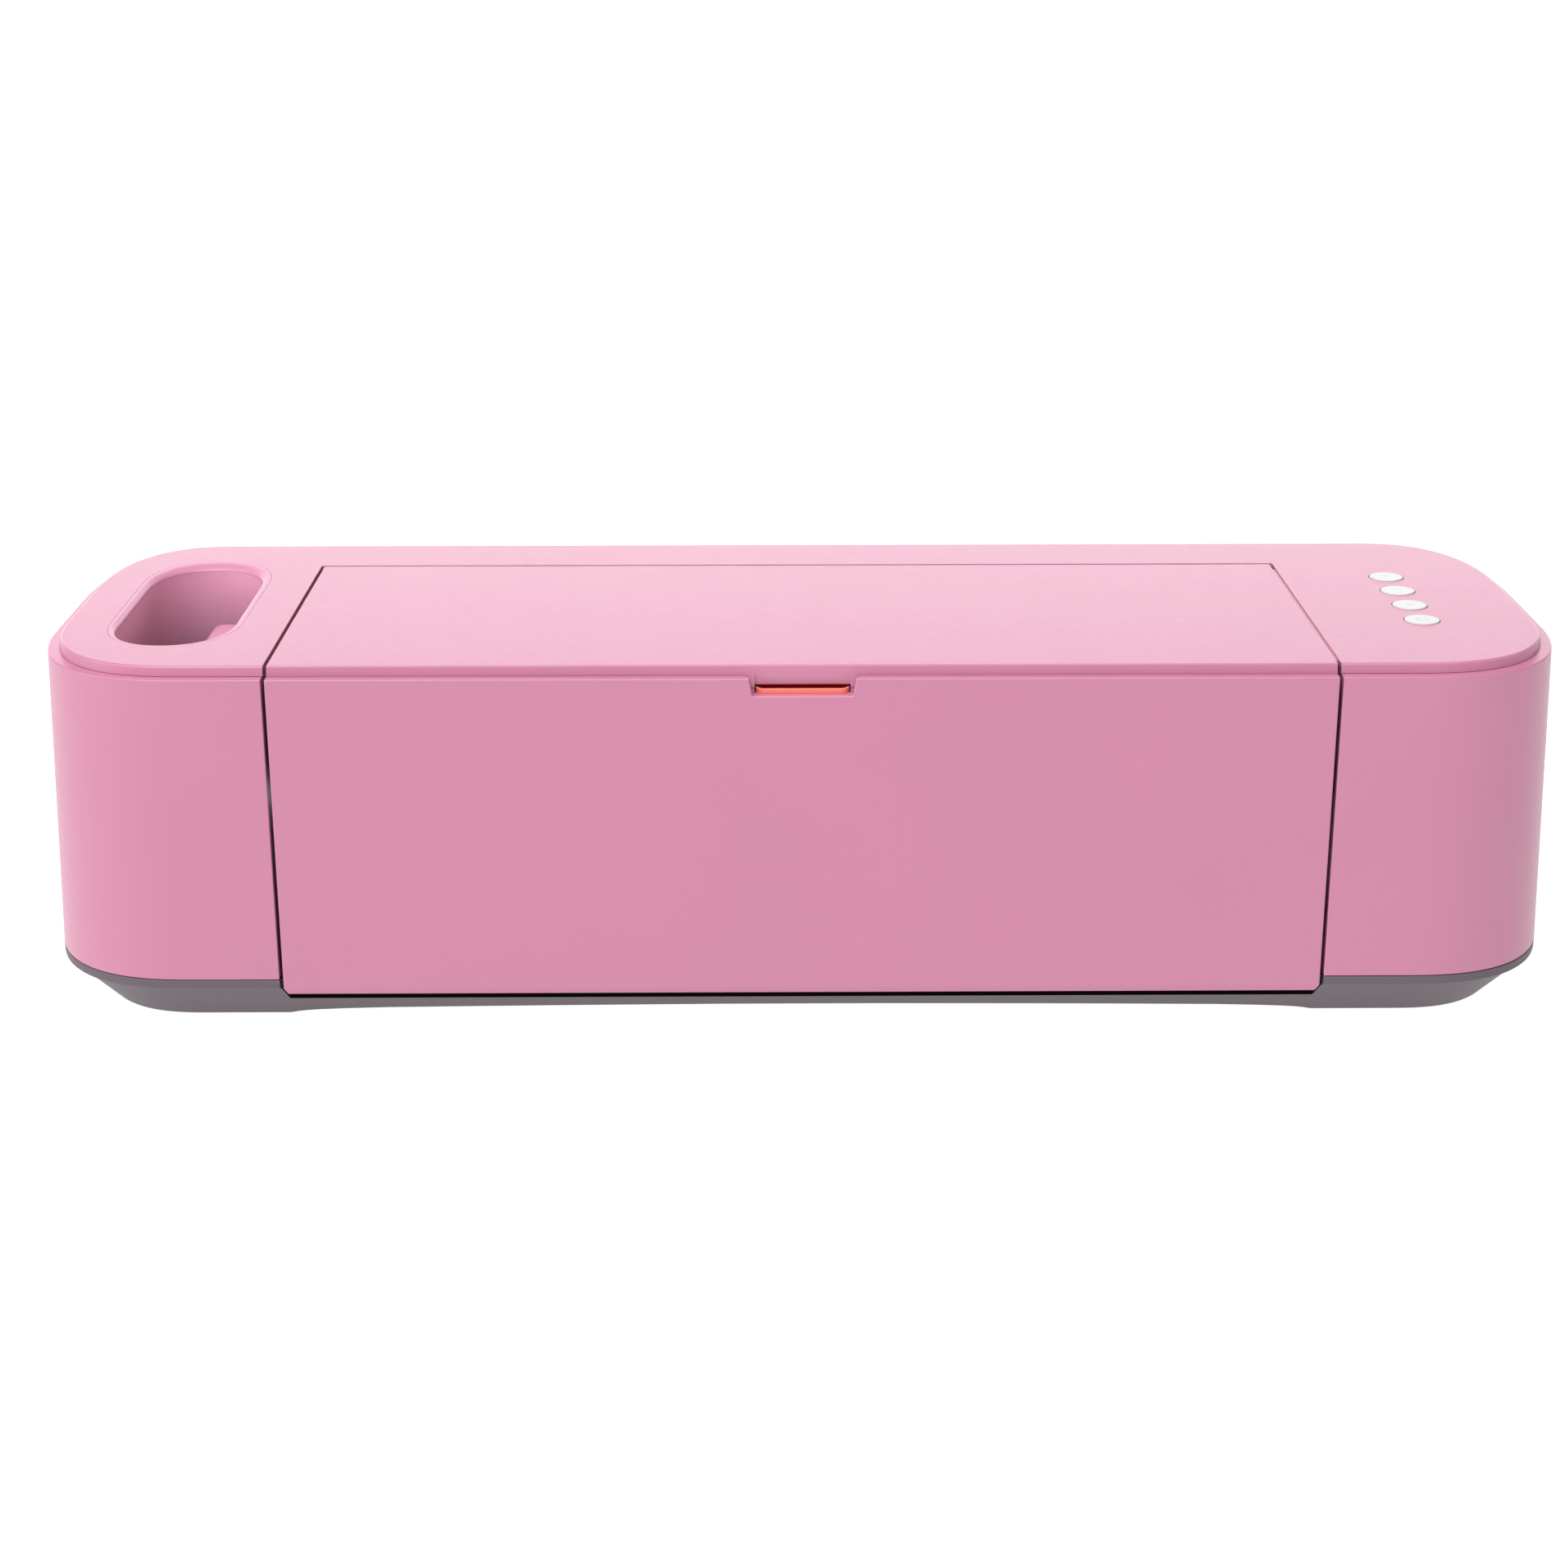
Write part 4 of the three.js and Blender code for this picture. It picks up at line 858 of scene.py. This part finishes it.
for n, (x, z, half_x, half_z) in enumerate(SMALL_CHIPS):
    chip = block(x - half_x, x + half_x, BOARD_Y - 1.2, BOARD_Y + 0.2, z - half_z, z + half_z, radius=0.3)
    finished(f"board_small_chip_{n + 1}", chip, [CHARCOAL], "chassis")
for n, (x, z, radius) in enumerate(CANS):
    can = bar("y", BOARD_Y - 2 * radius, BOARD_Y + 0.2, x, z, radius, 0.5)
    finished(f"board_can_{n + 1}", can, [ALUMINIUM], "chassis")


# ---------- CAD nodes that stay ----------
def smoothing(name, angle):
    """A modifier group that shades faces smooth and keeps edges over the angle sharp."""
    group = bpy.data.node_groups.new(name, "GeometryNodeTree")
    group.interface.new_socket("Geometry", in_out="INPUT", socket_type="NodeSocketGeometry")
    group.interface.new_socket("Geometry", in_out="OUTPUT", socket_type="NodeSocketGeometry")
    start = group.nodes.new("NodeGroupInput")
    end = group.nodes.new("NodeGroupOutput")
    faces = group.nodes.new("GeometryNodeSetShadeSmooth")
    edges = group.nodes.new("GeometryNodeSetShadeSmooth")
    edges.domain = "EDGE"
    edges.inputs["Shade Smooth"].default_value = False
    measured = group.nodes.new("GeometryNodeInputMeshEdgeAngle")
    over = group.nodes.new("ShaderNodeMath")
    over.operation = "GREATER_THAN"
    over.inputs[1].default_value = angle
    group.links.new(start.outputs[0], faces.inputs["Geometry"])
    group.links.new(faces.outputs[0], edges.inputs["Geometry"])
    group.links.new(measured.outputs["Unsigned Angle"], over.inputs[0])
    group.links.new(over.outputs[0], edges.inputs["Selection"])
    group.links.new(edges.outputs[0], end.inputs[0])
    return group


SMOOTH = smoothing("smooth_by_angle", math.radians(30))
KEPT = {
    RUBBER: ["foot_pad_front_left", "foot_pad_front_right", "foot_pad_rear_left", "foot_pad_rear_right",
             "feed_belt", "left_pinch_roller", "right_pinch_roller", "carriage_belt"],
    STEEL: ["case_screw_front_left", "case_screw_front_right", "case_screw_rear_left",
            "case_screw_rear_right", "drive_roller", "upper_guide_rod", "lower_guide_rod", "data_port"],
    BLACK_STEEL: ["lid_pin_left", "lid_pin_right", "door_pin_left", "door_pin_right"],
    CHARCOAL: ["left_side_plate", "right_side_plate", "platen", "carriage_frame", "pen_adapter",
               "power_jack"],
    MOTOR: ["feed_motor", "carriage_motor"],
    WHITE: ["left_mat_guide", "right_mat_guide", "blade_slider", "pen_slider"],
    PINK: ["blade_clamp_lever", "pen_clamp_lever"],
    ALUMINIUM: ["feed_pulley", "pinch_bar", "carriage_rail", "blade_housing", "idler_pulley",
                "idler_bracket"],
    BRASS: ["feed_motor_pulley", "motor_pulley"],
    BOARD: ["button_board", "main_board"],
}
for material, names in KEPT.items():
    for name in names:
        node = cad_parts[name]
        node.data.materials.clear()
        node.data.materials.append(material)
        weld = node.modifiers.new("weld", "WELD")
        weld.merge_threshold = 1e-6
        bevel = node.modifiers.new("edges", "BEVEL")
        bevel.width = 0.00025
        bevel.segments = 2
        bevel.limit_method = "ANGLE"
        bevel.angle_limit = math.radians(40)
        shade = node.modifiers.new("shading", "NODES")
        shade.node_group = SMOOTH


# ---------- floor, light and camera ----------
def floor():
    bm = bmesh.new()
    bmesh.ops.create_grid(bm, x_segments=8, y_segments=8, size=12)
    mesh = bpy.data.meshes.new("studio_floor")
    bm.to_mesh(mesh)
    bm.free()
    obj = bpy.data.objects.new("studio_floor", mesh)
    bpy.context.scene.collection.objects.link(obj)
    material, _, shader = new_material("studio_paper", (0.25, 0.25, 0.25), 0.9)
    shader.inputs["Emission Color"].default_value = (1, 1, 1, 1)
    shader.inputs["Emission Strength"].default_value = 0.97
    mesh.materials.append(material)


def soft_light(name, spot, size, size_y, power):
    """A rectangular light that points at the middle of the object."""
    data = bpy.data.lights.new(name, "AREA")
    data.shape = "RECTANGLE"
    data.size, data.size_y = size, size_y
    data.energy = power
    obj = bpy.data.objects.new(name, data)
    obj.location = spot
    obj.rotation_euler = (Vector((0, 0, 0.1)) - Vector(spot)).to_track_quat("-Z", "Y").to_euler()
    bpy.context.scene.collection.objects.link(obj)


floor()
world = bpy.data.worlds.new("studio")
world.use_nodes = True
backdrop = world.node_tree.nodes["Background"]
backdrop.inputs["Color"].default_value = (1, 1, 1, 1)
backdrop.inputs["Strength"].default_value = 0.25
bpy.context.scene.world = world
soft_light("back_panel", (0, 2.2, 0.45), 4.0, 0.9, 32)
soft_light("left_panel", (-2.4, -0.6, 1.2), 2.0, 2.0, 24)
soft_light("front_panel", (-0.9, -2.0, 2.3), 2.4, 1.6, 29)
soft_light("top_panel", (-0.3, -0.9, 2.6), 2.4, 1.6, 67)

camera_data = bpy.data.cameras.new("camera")
camera_data.lens = 63.24
camera_data.sensor_width = 36
camera = bpy.data.objects.new("camera", camera_data)
camera.location = (-0.01467, -1.05994, 0.43424)
turns = ((-0.428, "Z"), (90 - 19.11, "X"), (-0.046, "Z"))
yaw, pitch, roll = (Matrix.Rotation(math.radians(angle), 3, axis) for angle, axis in turns)
camera.rotation_euler = (yaw @ pitch @ roll).to_euler()
bpy.context.scene.collection.objects.link(camera)
bpy.context.scene.camera = camera
bpy.context.scene.view_settings.view_transform = "Standard"
